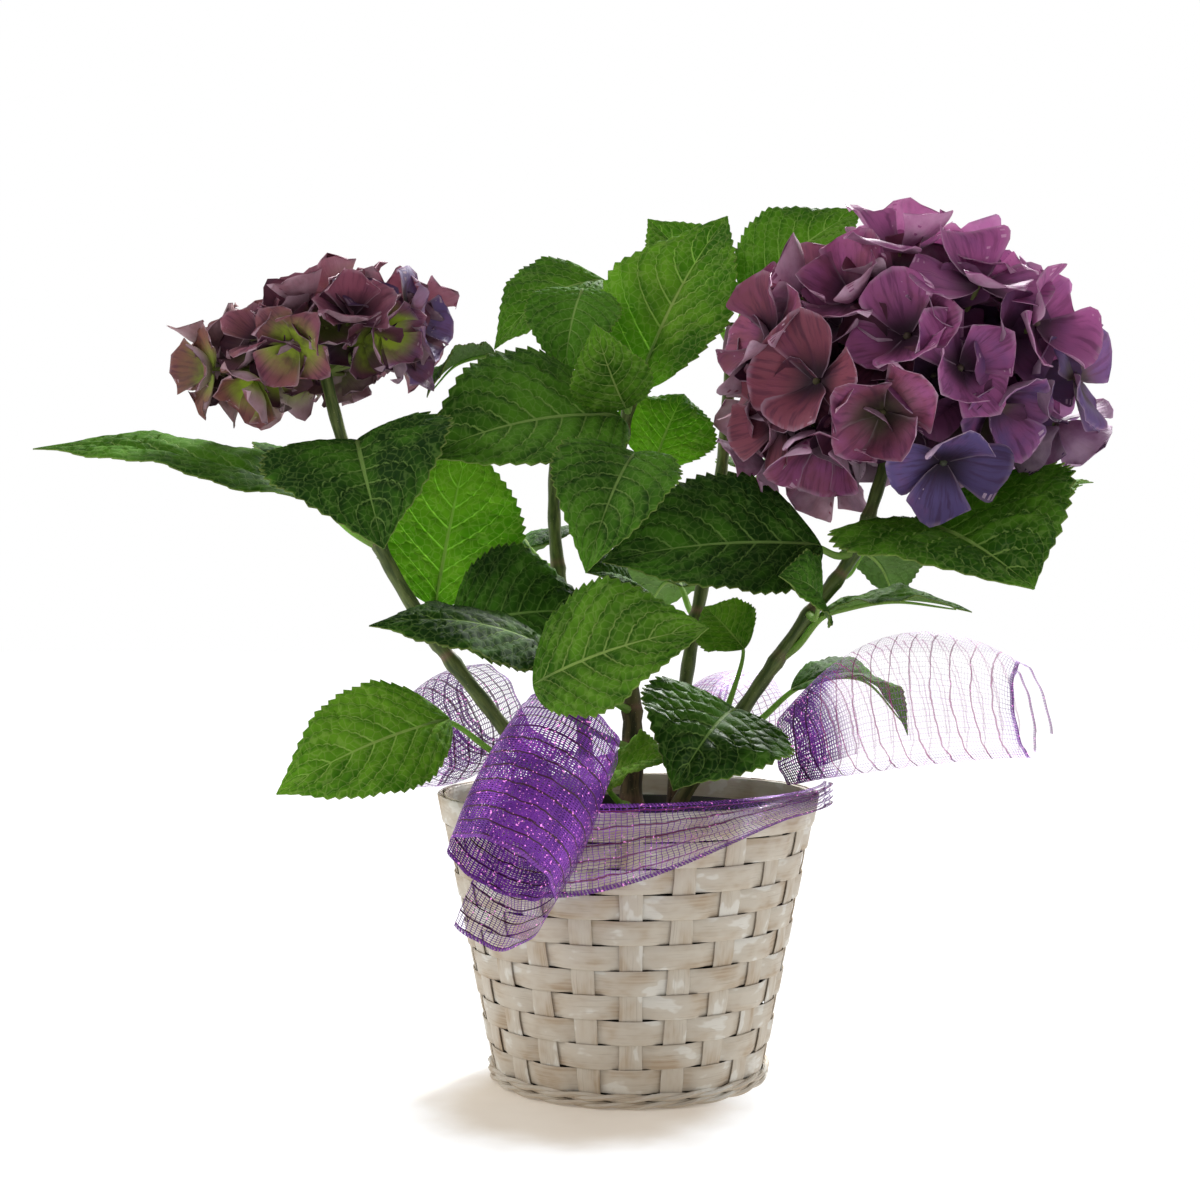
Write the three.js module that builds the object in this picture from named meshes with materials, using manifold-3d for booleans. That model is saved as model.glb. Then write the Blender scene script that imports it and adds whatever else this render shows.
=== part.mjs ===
// A hydrangea with two flower heads, growing in a whitewashed woven basket that is tied with mesh ribbon.
// Millimetres, +Z up. The origin is the middle of the basket's flat base, and -Y is the front.
import * as THREE from "three";
import { mergeVertices } from "three/addons/utils/BufferGeometryUtils.js";
import Module from "manifold-3d";

const wasm = await Module();
wasm.setup();

// Driving dimensions
const BASKET_HEIGHT = 118;
const BASE_RADIUS = 55;
const RIM_RADIUS = 78;
const STAVES = 22;
const STAVE_WIDTH = 9;
const STRIP_THICKNESS = 1;
const ROWS = 10;
const ROW_PITCH = 10;
const ROW_HEIGHT = 9.2;
const FIRST_ROW = 5.8;
const RIM_BAND_HEIGHT = 11.5;
const BASE_THICKNESS = 2.4;
const FOOT_HEIGHT = 5;
const SEAT_GAP = 0.3;

const POT_HEIGHT = 106;
const POT_TOP_RADIUS = 72;
const POT_BASE_RADIUS = 51;
const POT_WALL = 1.4;
const SOIL_TOP = 97;

const CANE_RADIUS = 3.4;
const CANE_TAPER = 0.25;
const BLADE_THICKNESS = 0.9;
const STALK_RADIUS = 1.5;
const STALK_SAG = 3;
const EDGE_WAVE = 1.5;
const SEPAL_THICKNESS = 0.9;
const RIBBON_THICKNESS = 0.8;

const v3 = (x, y, z) => new THREE.Vector3(x, y, z);
const finish = (color, roughness) => new THREE.MeshStandardMaterial({ color, roughness, metalness: 0 });
const whitewash = finish(0xcfc6b8, 0.75);
const blackPlastic = finish(0x1c1b1a, 0.5);
const earth = finish(0x2b1d14, 0.95);
const caneGreen = finish(0x4a5a30, 0.6);
const leafGreen = finish(0x2f6b1c, 0.45);
const mauve = finish(0x7a4a6e, 0.7);
const dustyMauve = finish(0x6b4a55, 0.7);
const purpleMesh = finish(0x6a2fa0, 0.5);

const group = new THREE.Group();

// Solids

// A closed mesh, given by its corners and its triangles, as a solid.
function solid(corners, triangles) {
  const vertProperties = new Float32Array(corners.flatMap((p) => [p.x, p.y, p.z]));
  const made = new wasm.Manifold(
    new wasm.Mesh({ numProp: 3, vertProperties, triVerts: new Uint32Array(triangles.flat()) }),
  );
  if (made.volume() <= 0) throw new Error("a solid is inside out");
  return made;
}

// A closed three.js geometry as a solid.
function solidOf(geometry) {
  const bare = geometry.clone();
  bare.deleteAttribute("normal");
  bare.deleteAttribute("uv");
  const merged = mergeVertices(bare, 1e-3);
  const vertProperties = merged.attributes.position.array;
  return new wasm.Manifold(
    new wasm.Mesh({ numProp: 3, vertProperties, triVerts: new Uint32Array(merged.index.array) }),
  );
}

// Adds a solid to the model as a named mesh.
function add(name, shape, material) {
  const made = shape.getMesh();
  const geometry = new THREE.BufferGeometry();
  geometry.setAttribute("position", new THREE.BufferAttribute(new Float32Array(made.vertProperties), 3));
  geometry.setIndex(new THREE.BufferAttribute(new Uint32Array(made.triVerts), 1));
  geometry.computeVertexNormals();
  const mesh = new THREE.Mesh(geometry, material);
  mesh.name = name;
  group.add(mesh);
  return mesh;
}

// Joins sections, each a loop of points that runs anticlockwise when looking along the path, into one skin.
function loft(sections, closed) {
  const sides = sections[0].length;
  const spans = closed ? sections.length : sections.length - 1;
  const triangles = [];
  for (let k = 0; k < spans; k++) {
    const here = k * sides;
    const there = ((k + 1) % sections.length) * sides;
    for (let a = 0; a < sides; a++) {
      const b = (a + 1) % sides;
      triangles.push([here + a, there + a, there + b], [here + a, there + b, here + b]);
    }
  }
  if (!closed) {
    const last = (sections.length - 1) * sides;
    for (let a = 1; a < sides - 1; a++) {
      triangles.push([0, a, a + 1], [last, last + a + 1, last + a]);
    }
  }
  return solid(sections.flat(), triangles);
}

// A round rod along a curve, with its radius given at each share of the way.
function rod(curve, radiusAt, steps, sides) {
  const frames = curve.computeFrenetFrames(steps, false);
  const sections = [];
  for (let k = 0; k <= steps; k++) {
    const middle = curve.getPointAt(k / steps);
    const radius = radiusAt(k / steps);
    const loop = [];
    for (let a = 0; a < sides; a++) {
      const turn = (2 * Math.PI * a) / sides;
      loop.push(
        middle
          .clone()
          .addScaledVector(frames.normals[k], radius * Math.cos(turn))
          .addScaledVector(frames.binormals[k], -radius * Math.sin(turn)),
      );
    }
    sections.push(loop);
  }
  return loft(sections, false);
}

// A thin sheet over a grid of points, thickened by the same amount on both sides along each point's normal.
function sheet(points, normals, thickness) {
  const rows = points.length;
  const columns = points[0].length;
  const shift = (side) =>
    points.flatMap((row, i) =>
      row.map((p, j) => p.clone().addScaledVector(normals[i][j], (side * thickness) / 2)),
    );
  const at = (i, j) => i * columns + j;
  const below = rows * columns;
  const triangles = [];
  for (let i = 0; i < rows - 1; i++) {
    for (let j = 0; j < columns - 1; j++) {
      const [a, b, c, d] = [at(i, j), at(i + 1, j), at(i + 1, j + 1), at(i, j + 1)];
      triangles.push([a, b, c], [a, c, d]);
      triangles.push([below + a, below + c, below + b], [below + a, below + d, below + c]);
    }
  }
  const rim = [];
  for (let i = 0; i < rows - 1; i++) rim.push(at(i, 0));
  for (let j = 0; j < columns - 1; j++) rim.push(at(rows - 1, j));
  for (let i = rows - 1; i > 0; i--) rim.push(at(i, columns - 1));
  for (let j = columns - 1; j > 0; j--) rim.push(at(0, j));
  rim.forEach((a, n) => {
    const b = rim[(n + 1) % rim.length];
    triangles.push([a, below + a, below + b], [a, below + b, b]);
  });
  return solid([...shift(1), ...shift(-1)], triangles);
}

// The largest body of a solid, which drops the crumbs that a cut leaves.
function largest(shape) {
  return shape.decompose().sort((a, b) => b.volume() - a.volume())[0];
}

// Seeded draws, the same on every run.
function draws(seed) {
  let state = seed;
  return (low, high) => {
    state = (state * 1664525 + 1013904223) % 4294967296;
    return low + ((high - low) * state) / 4294967296;
  };
}

// The woven basket

const wallRadius = (z) => BASE_RADIUS + ((RIM_RADIUS - BASE_RADIUS) * z) / BASKET_HEIGHT;
const wallPoint = (turn, radius, z) => v3(radius * Math.cos(turn), radius * Math.sin(turn), z);
const staveTurn = (number) => (2 * Math.PI * (number + 0.5)) / STAVES;
const staveHalfTurn = (z) => Math.atan(STAVE_WIDTH / 2 / wallRadius(z));

// The base and the upright staves: long strips that cross under the pot and turn up its sides.
function basketStaves() {
  const disc = new THREE.CylinderGeometry(BASE_RADIUS, BASE_RADIUS, BASE_THICKNESS, STAVES);
  disc.rotateX(Math.PI / 2);
  disc.translate(0, 0, BASE_THICKNESS / 2);
  const staves = [solidOf(disc)];
  for (let number = 0; number < STAVES; number++) {
    const out = v3(Math.cos(staveTurn(number)), Math.sin(staveTurn(number)), 0);
    const along = v3(-out.y, out.x, 0).multiplyScalar(STAVE_WIDTH / 2);
    const sections = [0, BASKET_HEIGHT].map((z) => {
      const inner = out.clone().multiplyScalar(wallRadius(z) - STRIP_THICKNESS / 2).setZ(z);
      const outer = out.clone().multiplyScalar(wallRadius(z) + STRIP_THICKNESS / 2).setZ(z);
      return [
        inner.clone().sub(along),
        inner.clone().add(along),
        outer.clone().add(along),
        outer.clone().sub(along),
      ];
    });
    staves.push(loft(sections, false));
  }
  return wasm.Manifold.union(staves);
}

// One woven strip: a ring that passes outside every other stave and inside the ones between.
function weaver(row) {
  const middle = FIRST_ROW + ROW_PITCH * (row + 0.5);
  const low = middle - ROW_HEIGHT / 2;
  const high = middle + ROW_HEIGHT / 2;
  const clear = STRIP_THICKNESS + SEAT_GAP;
  const sections = [];
  for (let number = 0; number < STAVES; number++) {
    const offset = (number + row) % 2 ? -clear : clear;
    for (const edge of [-1, 1]) {
      const half = staveHalfTurn(middle) * 1.04;
      const turn = staveTurn(number) + edge * half;
      const place = (side, z) =>
        wallPoint(turn, (wallRadius(z) + offset + (side * STRIP_THICKNESS) / 2) / Math.cos(half), z);
      sections.push([place(-1, low), place(1, low), place(1, high), place(-1, high)]);
    }
  }
  return loft(sections, true);
}

// A plain band round the wall between two heights, from one offset off the wall to another.
function hoop(low, high, inner, outer, steps) {
  const sections = [];
  for (let k = 0; k < steps; k++) {
    const turn = (2 * Math.PI * k) / steps;
    const reach = 1 / Math.cos(Math.PI / steps);
    const place = (offset, z) => wallPoint(turn, (wallRadius(z) + offset) * reach, z);
    sections.push([place(inner, low), place(outer, low), place(outer, high), place(inner, high)]);
  }
  return loft(sections, true);
}

function addBasket() {
  add("basket_staves", basketStaves(), whitewash);
  for (let row = 0; row < ROWS; row++) {
    add(`weaver_${String(row + 1).padStart(2, "0")}`, weaver(row), whitewash);
  }
  const seat = STRIP_THICKNESS / 2 + SEAT_GAP;
  const bandLow = BASKET_HEIGHT - RIM_BAND_HEIGHT;
  add("rim_outer", hoop(bandLow, BASKET_HEIGHT, seat, seat + RIM_BAND, STAVES), whitewash);
  add("rim_inner", hoop(bandLow, BASKET_HEIGHT, -seat - RIM_BAND, -seat, STAVES), whitewash);
  add("foot_hoop", hoop(0, FOOT_HEIGHT, seat, seat + 1.6, STAVES), whitewash);
}

// The canes, each a curve that rises from the soil

const CANES = {
  cane_left: [
    v3(-20, 2, 80), v3(-24, 1, 105), v3(-56, -5, 150), v3(-83, -10, 186),
    v3(-103, -14, 221), v3(-119, -16, 268), v3(-125, -16, 292),
  ],
  cane_right: [
    v3(14, 4, 80), v3(18, 2, 105), v3(45, -4, 148), v3(72, -10, 188),
    v3(92, -13, 216), v3(103, -14, 245), v3(110, -14, 274),
  ],
  cane_middle: [v3(0, 14, 80), v3(2, 14, 150), v3(-3, 12, 210), v3(-4, 10, 254), v3(1, 8, 284)],
  cane_back_left: [v3(-14, 30, 80), v3(-20, 36, 150), v3(-32, 44, 230), v3(-27, 45, 320)],
  cane_back_right: [v3(18, 32, 80), v3(26, 42, 160), v3(42, 52, 250), v3(48, 50, 322)],
};
const CANE_STEPS = 10;
const CANE_SIDES = 5;
const caneCurves = {};
const canes = {};
const roomForCane = {};
for (const [name, points] of Object.entries(CANES)) {
  const curve = new THREE.CatmullRomCurve3(points, false, "centripetal");
  const radiusAt = (share) => CANE_RADIUS * (1 - CANE_TAPER * share);
  caneCurves[name] = curve;
  canes[name] = rod(curve, radiusAt, CANE_STEPS, CANE_SIDES);
  roomForCane[name] = rod(curve, (share) => radiusAt(share) + SEAT_GAP + 0.05, CANE_STEPS, CANE_SIDES);
}

// The point on a cane's middle line at a height.
function onCane(name, height) {
  const curve = caneCurves[name];
  let low = 0;
  let high = 1;
  for (let tries = 0; tries < 24; tries++) {
    const middle = (low + high) / 2;
    if (curve.getPointAt(middle).z < height) low = middle;
    else high = middle;
  }
  return curve.getPointAt(low);
}

// The leaves

// A blade's half width at a share of its length, as a part of its greatest: oval, drawn out to a point.
const bladeOutline = (share) => Math.sin(Math.PI * share ** 0.78) ** 0.85 * (1 - 0.4 * share ** 5);

// A point of a blade: share runs from its base to its tip, across from -1 to 1 between its edges.
function bladeSurface({ base, tip, width, face, arch, fold }) {
  const chord = tip.clone().sub(base);
  const forward = chord.clone().normalize();
  const side = face.clone().cross(forward).normalize();
  const up = forward.clone().cross(side);
  const tilt = THREE.MathUtils.degToRad(fold);
  return {
    up,
    at(share, across) {
      const half = (width / 2) * bladeOutline(share);
      const lift =
        4 * arch * share * (1 - share) +
        Math.abs(across) * half * Math.sin(tilt) +
        EDGE_WAVE * across ** 2 * Math.sin(4 * Math.PI * share + Math.sign(across));
      return base
        .clone()
        .addScaledVector(chord, share)
        .addScaledVector(side, across * half * Math.cos(tilt))
        .addScaledVector(up, lift);
    },
  };
}

// A leaf blade as a thin solid with a saw edge: both faces have the same triangles.
function blade(leaf) {
  const surface = bladeSurface(leaf);
  const teeth = Math.round(leaf.width / 14);
  const ribs = 5;
  const spine = [];
  for (let k = 0; k <= ribs; k++) spine.push({ share: k / ribs, point: surface.at(k / ribs, 0) });
  const edge = (sign) => {
    const found = [];
    for (let k = 1; k < 2 * teeth; k++) {
      const share = k / (2 * teeth) + (k % 2 ? 0.02 : -0.005);
      found.push({ share, point: surface.at(share, sign * (k % 2 ? 1.06 : 0.92)) });
    }
    return found;
  };
  const left = edge(1);
  const right = edge(-1);
  const all = [...spine, ...left, ...right];
  const index = new Map(all.map((corner, n) => [corner, n]));
  const faces = [];
  for (const [margin, turned] of [[left, false], [right, true]]) {
    const run = [spine[0], ...margin, spine[ribs]];
    let i = 0;
    let j = 0;
    while (i < ribs || j < run.length - 1) {
      const takeMargin = i === ribs || (j < run.length - 1 && run[j + 1].share <= spine[i + 1].share);
      const face = takeMargin ? [spine[i], run[j + 1], run[j]] : [spine[i], spine[i + 1], run[j]];
      if (takeMargin) j++;
      else i++;
      if (new Set(face).size < 3) continue;
      faces.push((turned ? face.reverse() : face).map((corner) => index.get(corner)));
    }
  }
  const rim = [spine[0], ...right, spine[ribs], ...left.slice().reverse()].map((corner) => index.get(corner));
  const count = all.length;
  const triangles = faces.flatMap(([a, b, c]) => [[a, b, c], [count + a, count + c, count + b]]);
  rim.forEach((a, n) => {
    const b = rim[(n + 1) % rim.length];
    triangles.push([a, count + a, count + b], [a, count + b, b]);
  });
  const shift = (side) =>
    all.map(({ point }) => point.clone().addScaledVector(surface.up, (side * BLADE_THICKNESS) / 2));
  return solid([...shift(1), ...shift(-1)], triangles);
}

// A leaf: its blade and the stalk that carries it, cut to sit against its cane.
function leafSolid(leaf) {
  const surface = bladeSurface(leaf);
  const root = onCane(leaf.cane, leaf.height);
  const middle = root.clone().lerp(leaf.base, 0.5);
  middle.z -= STALK_SAG;
  const run = [root, middle, surface.at(0.03, 0), surface.at(0.2, 0)];
  run[2].addScaledVector(surface.up, -0.6);
  run[3].addScaledVector(surface.up, -0.5);
  const curve = new THREE.CatmullRomCurve3(run, false, "centripetal");
  const stalk = rod(curve, (share) => STALK_RADIUS * (1.25 - 0.6 * share), 4, 4);
  return largest(blade(leaf).add(stalk).simplify(0.3).subtract(roomForCane[leaf.cane]));
}

// Each leaf: its cane, the height of its joint there, its blade's base and tip, the blade's width, the way its
// face looks, how far it arches, and how many degrees its halves fold up along the midrib.
const LEAVES = {
  leaf_far_left: ["cane_left", 220, [-124, -20, 238], [-241, -28, 259], 56, [0, -0.32, 0.95], 8, 4],
  leaf_under_left_head: ["cane_left", 250, [-109, -36, 262], [-92, -88, 217], 78, [-0.15, -0.6, 0.78], 8, 18],
  leaf_left_back: ["cane_left", 244, [-122, 12, 250], [-156, 78, 256], 58, [0, -0.1, 1], 8, 12],
  leaf_bright_left: ["cane_left", 172, [-82, 12, 195], [-69, 34, 268], 68, [0, -0.92, 0.4], 5, 12],
  leaf_left_inner: ["cane_left", 180, [-73, -14, 186], [-12, -2, 192], 66, [0, -0.8, 0.6], 6, 12],
  leaf_low_bright: ["cane_left", 126, [-71, -45, 151], [-135, -70, 124], 54, [-0.2, -0.85, 0.5], 6, 6],
  leaf_mid_left: ["cane_middle", 268, [-3, -8, 274], [-84, -50, 253], 78, [0, -0.75, 0.66], 8, 12],
  leaf_low_left: ["cane_middle", 150, [-28, -34, 176], [-101, -60, 188], 50, [0.05, -0.42, 0.9], 8, -8],
  leaf_front_centre: ["cane_middle", 134, [-37, -78, 166], [28, -98, 188], 62, [-0.2, -0.75, 0.6], 5, 12],
  leaf_inside: ["cane_middle", 110, [-10, -30, 125], [16, -50, 136], 34, [0, -0.6, 0.8], 3, 12],
  leaf_centre_folded: ["cane_middle", 246, [2, -48, 256], [-17, -90, 208], 54, [0, -0.75, 0.66], 8, 24],
  leaf_centre_small: ["cane_middle", 204, [3, -4, 203], [-17, -28, 209], 32, [0, -0.7, 0.7], 3, 12],
  leaf_behind_bright: ["cane_middle", 240, [11, 18, 255], [25, 31, 288], 46, [0, -0.9, 0.4], 5, 12],
  leaf_upper_centre: ["cane_middle", 280, [4, 14, 288], [44, 32, 366], 68, [-0.5, -0.8, 0.1], 6, 12],
  leaf_young: ["cane_middle", 283, [-1, -14, 277], [-14, -32, 309], 36, [-0.3, -0.85, 0.3], 4, 20],
  leaf_front_right: ["cane_right", 144, [43, -30, 154], [16, -74, 126], 64, [0.1, -0.72, 0.69], 9, 6],
  leaf_small_light: ["cane_right", 132, [50, 16, 177], [34, 34, 195], 30, [-0.2, -0.8, 0.5], 3, 12],
  leaf_small_dark: ["cane_right", 192, [73, -61, 195], [55, -83, 207], 34, [0.3, -0.75, 0.55], 5, 12],
  leaf_right_narrow: ["cane_right", 172, [78, -14, 191], [139, -26, 193], 36, [0, -0.14, 0.99], 6, 10],
  leaf_under_right_head: ["cane_right", 232, [117, -12, 231], [148, -92, 202], 106, [-0.12, -0.6, 0.8], 5, 16],
  leaf_centre_right: ["cane_right", 218, [78, -25, 220], [-11, -44, 213], 74, [0, -0.7, 0.7], 5, 12],
  leaf_right_back: ["cane_right", 206, [101, 16, 219], [120, 46, 197], 38, [0.3, 0.4, 0.85], 5, 12],
  leaf_low_right_back: ["cane_right", 138, [71, 24, 159], [125, 44, 138], 44, [0, -0.2, 0.97], 16, 12],
  leaf_right_far: ["cane_right", 222, [166, 62, 227], [219, 86, 253], 50, [0, -0.1, 1], 6, 12],
  leaf_upper_left: ["cane_back_left", 318, [-9, 62, 343], [-59, 48, 310], 46, [-0.3, -0.75, 0.6], 10, 12],
  leaf_upper_left_front: ["cane_back_left", 314, [-19, 18, 332], [-27, 0, 290], 42, [-0.1, -0.9, 0.35], 8, 12],
  leaf_edge_left: ["cane_back_left", 290, [-58, 38, 306], [-87, 26, 286], 40, [-0.5, -0.1, 0.86], 6, 12],
  leaf_back_left: ["cane_back_left", 212, [-44, 64, 222], [-60, 138, 212], 70, [0, 0.25, 0.97], 10, 12],
  leaf_upper_right: ["cane_back_right", 316, [54, 58, 334], [108, 70, 377], 54, [-0.3, -0.8, 0.5], 5, 12],
  leaf_top_back: ["cane_back_right", 312, [40, 54, 330], [10, 66, 372], 44, [0.2, -0.85, 0.5], 4, 12],
  leaf_back_centre: ["cane_back_right", 190, [26, 68, 204], [10, 142, 188], 74, [0, 0.3, 0.95], 10, 12],
  leaf_back_right: ["cane_back_right", 240, [62, 78, 256], [96, 146, 250], 66, [0, 0.1, 1], 9, 12],
};

// The flower heads

const HEADS = {
  flower_head_right: {
    cane: "cane_right", centre: v3(113.5, -14.5, 289.3), reach: v3(73, 67, 60),
    florets: 38, radius: 24, under: 0.76, lean: -10, seed: 7, material: mauve,
  },
  flower_head_left: {
    cane: "cane_left", centre: v3(-127, -16, 301), reach: v3(51, 44, 27),
    florets: 22, radius: 18.5, under: 0.6, lean: -17, seed: 19, material: dustyMauve,
  },
};
const CORE_SHARE = 0.66;
const GOLDEN_TURN = Math.PI * (3 - Math.sqrt(5));

// One floret: four broad sepals in one cupped blade on a stalk that runs down into the head.
function floret(middle, up, spin, radius, cup, stalk) {
  const right = new THREE.Vector3(0.3, 0.8, -0.5).cross(up).normalize();
  const ahead = up.clone().cross(right);
  const place = (out, turn, height) =>
    middle
      .clone()
      .addScaledVector(right, out * Math.cos(turn))
      .addScaledVector(ahead, out * Math.sin(turn))
      .addScaledVector(up, height);
  const rise = (share, sepal) => radius * share ** 2 * (sepal % 2 ? cup - 0.16 : cup + 0.06);
  const rim = [];
  for (let sepal = 0; sepal < 4; sepal++) {
    const turn = spin + (sepal * Math.PI) / 2;
    rim.push([0.46 * radius, turn - Math.PI / 4, rise(0.46, sepal)]);
    rim.push([radius, turn - 0.44, rise(1, sepal)]);
    rim.push([radius, turn + 0.44, rise(1, sepal)]);
  }
  const count = rim.length;
  const corners = [
    ...rim.map(([out, turn, height]) => place(out, turn, height)),
    ...rim.map(([out, turn, height]) => place(out, turn, height - SEPAL_THICKNESS)),
    place(0, 0, 0.4),
    ...[0, 1, 2, 3].map((n) => place(0.1 * radius, spin + ((n - 0.5) * Math.PI) / 2, -1.4 * SEPAL_THICKNESS)),
    place(0, 0, -stalk),
  ];
  const centre = 2 * count;
  const foot = centre + 5;
  const triangles = [];
  for (let n = 0; n < count; n++) {
    const next = (n + 1) % count;
    triangles.push([n, next, centre]);
    triangles.push([n, count + n, count + next], [n, count + next, next]);
  }
  for (let sepal = 0; sepal < 4; sepal++) {
    const near = centre + 1 + sepal;
    const far = centre + 1 + ((sepal + 1) % 4);
    const under = (n) => count + ((3 * sepal + n) % count);
    triangles.push([near, under(1), under(0)], [near, far, under(1)], [far, under(2), under(1)]);
    triangles.push([far, under(3), under(2)], [near, foot, far]);
  }
  return solid(corners, triangles);
}

// A head: florets set round an oval by the golden angle, all rooted in a smaller core.
function headSolid({ cane, centre, reach, florets, radius, under, lean, seed }) {
  const draw = draws(seed);
  const tip = new THREE.Quaternion().setFromAxisAngle(v3(0, 1, 0), THREE.MathUtils.degToRad(lean));
  const core = new THREE.IcosahedronGeometry(1, 1);
  core.scale(reach.x * CORE_SHARE, reach.y * CORE_SHARE, reach.z * CORE_SHARE);
  core.applyQuaternion(tip);
  core.translate(centre.x, centre.y, centre.z);
  const pieces = [solidOf(core)];
  for (let n = 0; n < florets; n++) {
    const height = 1 - ((n + 0.5) * (1 + under)) / florets;
    const flat = Math.sqrt(1 - height * height);
    const turn = n * GOLDEN_TURN;
    const way = v3(flat * Math.cos(turn), flat * Math.sin(turn), height);
    const out = (n % 2 ? 0.93 : 1.05) + draw(-0.02, 0.02);
    const middle = way.clone().multiply(reach).multiplyScalar(out).applyQuaternion(tip).add(centre);
    const up = way.clone().divide(reach).normalize();
    up.add(v3(draw(-0.12, 0.12), draw(-0.12, 0.12), draw(-0.12, 0.12))).normalize().applyQuaternion(tip);
    const inward = middle.distanceTo(centre) * (1 - CORE_SHARE);
    const spin = draw(0, Math.PI);
    const size = radius * draw(0.92, 1.08);
    pieces.push(floret(middle, up, spin, size, draw(0.1, 0.34), 1.5 * inward));
  }
  return largest(wasm.Manifold.union(pieces).simplify(0.7).subtract(roomForCane[cane]));
}

// The grow pot and its soil

const POT_SIDES = 18;
const POT_FLOOR = BASE_THICKNESS + SEAT_GAP;
const SOIL_FLOOR = POT_FLOOR + POT_WALL + SEAT_GAP;
const SOIL_INSET = POT_WALL + SEAT_GAP + 0.9;

// A solid turned about Z, from its radius and height at each point of its profile.
function turned(profile) {
  const points = profile.map(([radius, height]) => new THREE.Vector2(radius, height));
  return solidOf(new THREE.LatheGeometry(points, POT_SIDES).rotateX(Math.PI / 2));
}

function growPot() {
  const rim = POT_FLOOR + POT_HEIGHT;
  return turned([
    [0, POT_FLOOR],
    [POT_BASE_RADIUS, POT_FLOOR],
    [POT_TOP_RADIUS, rim],
    [POT_TOP_RADIUS - POT_WALL, rim],
    [POT_BASE_RADIUS - POT_WALL, POT_FLOOR + POT_WALL],
    [0, POT_FLOOR + POT_WALL],
  ]);
}

// Soil: fills the grow pot to a low, lumpy mound, with a plain hole for each cane.
function soil() {
  const slope = (POT_TOP_RADIUS - POT_BASE_RADIUS) / POT_HEIGHT;
  const edge = SOIL_TOP - 4;
  const wide = POT_BASE_RADIUS - SOIL_INSET + slope * (edge - SOIL_FLOOR);
  const round = turned([
    [0, SOIL_FLOOR],
    [POT_BASE_RADIUS - SOIL_INSET, SOIL_FLOOR],
    [wide, edge],
    [0.8 * wide, SOIL_TOP - 1],
    [0.45 * wide, SOIL_TOP],
    [0, SOIL_TOP + 2],
  ]);
  const lumpy = round.warp((corner) => {
    const [x, y, z] = corner;
    if (z > edge + 1) corner[2] = z + 1.6 * Math.sin(0.21 * x + 1) * Math.cos(0.17 * y);
  });
  return lumpy.subtract(wasm.Manifold.union(Object.values(roomForCane)));
}

// The ribbon

// A curl of ribbon. It winds round an axis, from one end to the other of which the ribbon's width lies. It is
// barrel shaped: its radius is given at the axis's start, middle and end. Each turn lies outside the last one
// and slips further along the axis, and the last half turn may hang out of the curl as a tail.
function curl({ from, to, radii, turns, slip, spread, start, steps, lift = 0, tail = 0, hangs = false }) {
  const along = to.clone().sub(from);
  const axis = along.clone().normalize();
  const across = axis.clone().cross(v3(0, 1, 0)).normalize();
  const depth = across.clone().cross(axis);
  const [first, middle, last] = radii;
  const radiusAt = (share) =>
    first * (1 - share) * (1 - 2 * share) + 4 * middle * share * (1 - share) + last * share * (2 * share - 1);
  const points = [];
  const normals = [];
  for (let k = 0; k <= steps; k++) {
    const wound = (turns * k) / steps;
    const turn = start + 2 * Math.PI * wound;
    const drop = tail * THREE.MathUtils.smoothstep(wound, turns - 0.42, turns - 0.12);
    const out = across.clone().multiplyScalar(Math.cos(turn)).addScaledVector(depth, Math.sin(turn));
    const row = CURL_SHARES.map((share) => {
      const point = from
        .clone()
        .addScaledVector(along, share)
        .addScaledVector(axis, slip * wound ** 2)
        .addScaledVector(out, radiusAt(share) + spread * wound);
      point.z += 4 * lift * share * (1 - share) - drop;
      return hangs ? outsideBasket(point, spread * (turns - wound)) : point;
    });
    points.push(row.reverse());
    normals.push(row.map(() => out));
  }
  return sheet(points, normals, RIBBON_THICKNESS);
}

// Ribbon that would reach into the basket lies against its rim instead, its inner turns over its outer ones.
function outsideBasket(point, over) {
  const clear = RIM_RADIUS + 8.8 + over;
  const radius = Math.hypot(point.x, point.y);
  if (radius >= clear) return point;
  const low = 1 - THREE.MathUtils.smoothstep(point.z, BASKET_HEIGHT + 7, BASKET_HEIGHT + 20);
  const push = 1 + low * (clear / radius - 1);
  return v3(point.x * push, point.y * push, point.z);
}

const CURL_SHARES = [0, 0.35, 0.7, 1];
const CURLS = {
  ribbon_curl_left: {
    from: v3(-23, -68.5, 150), to: v3(-48, -103, 100.5), radii: [19, 22, 20],
    turns: 1.46, slip: 1, spread: 1.6, start: -0.59, steps: 20, tail: 20, hangs: true,
  },
  ribbon_curl_right: {
    from: v3(66, 2, 134.7), to: v3(155, -44, 153.7), radii: [14, 26, 17],
    turns: 1.3, slip: 4, spread: 1.6, start: 0.4, steps: 18, lift: 12,
  },
  ribbon_curl_back_left: {
    from: v3(-58, 40, 152.5), to: v3(-86, 8, 138.5), radii: [18, 22, 17],
    turns: 1.2, slip: 8, spread: 1.6, start: 0.5, steps: 16,
  },
  ribbon_curl_back: {
    from: v3(30, 56, 137.1), to: v3(60, 108, 143.1), radii: [16, 22, 17],
    turns: 1.2, slip: 8, spread: 1.6, start: 0, steps: 16,
  },
};

// The band that lies along the front of the rim: gathered at the right, opening out to the left.
const BAND_START = -8;
const BAND_SWEEP = -112;
const BAND_NARROW = 10;
const BAND_SPREAD = 26;
const RIM_BAND = 1.2;

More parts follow.
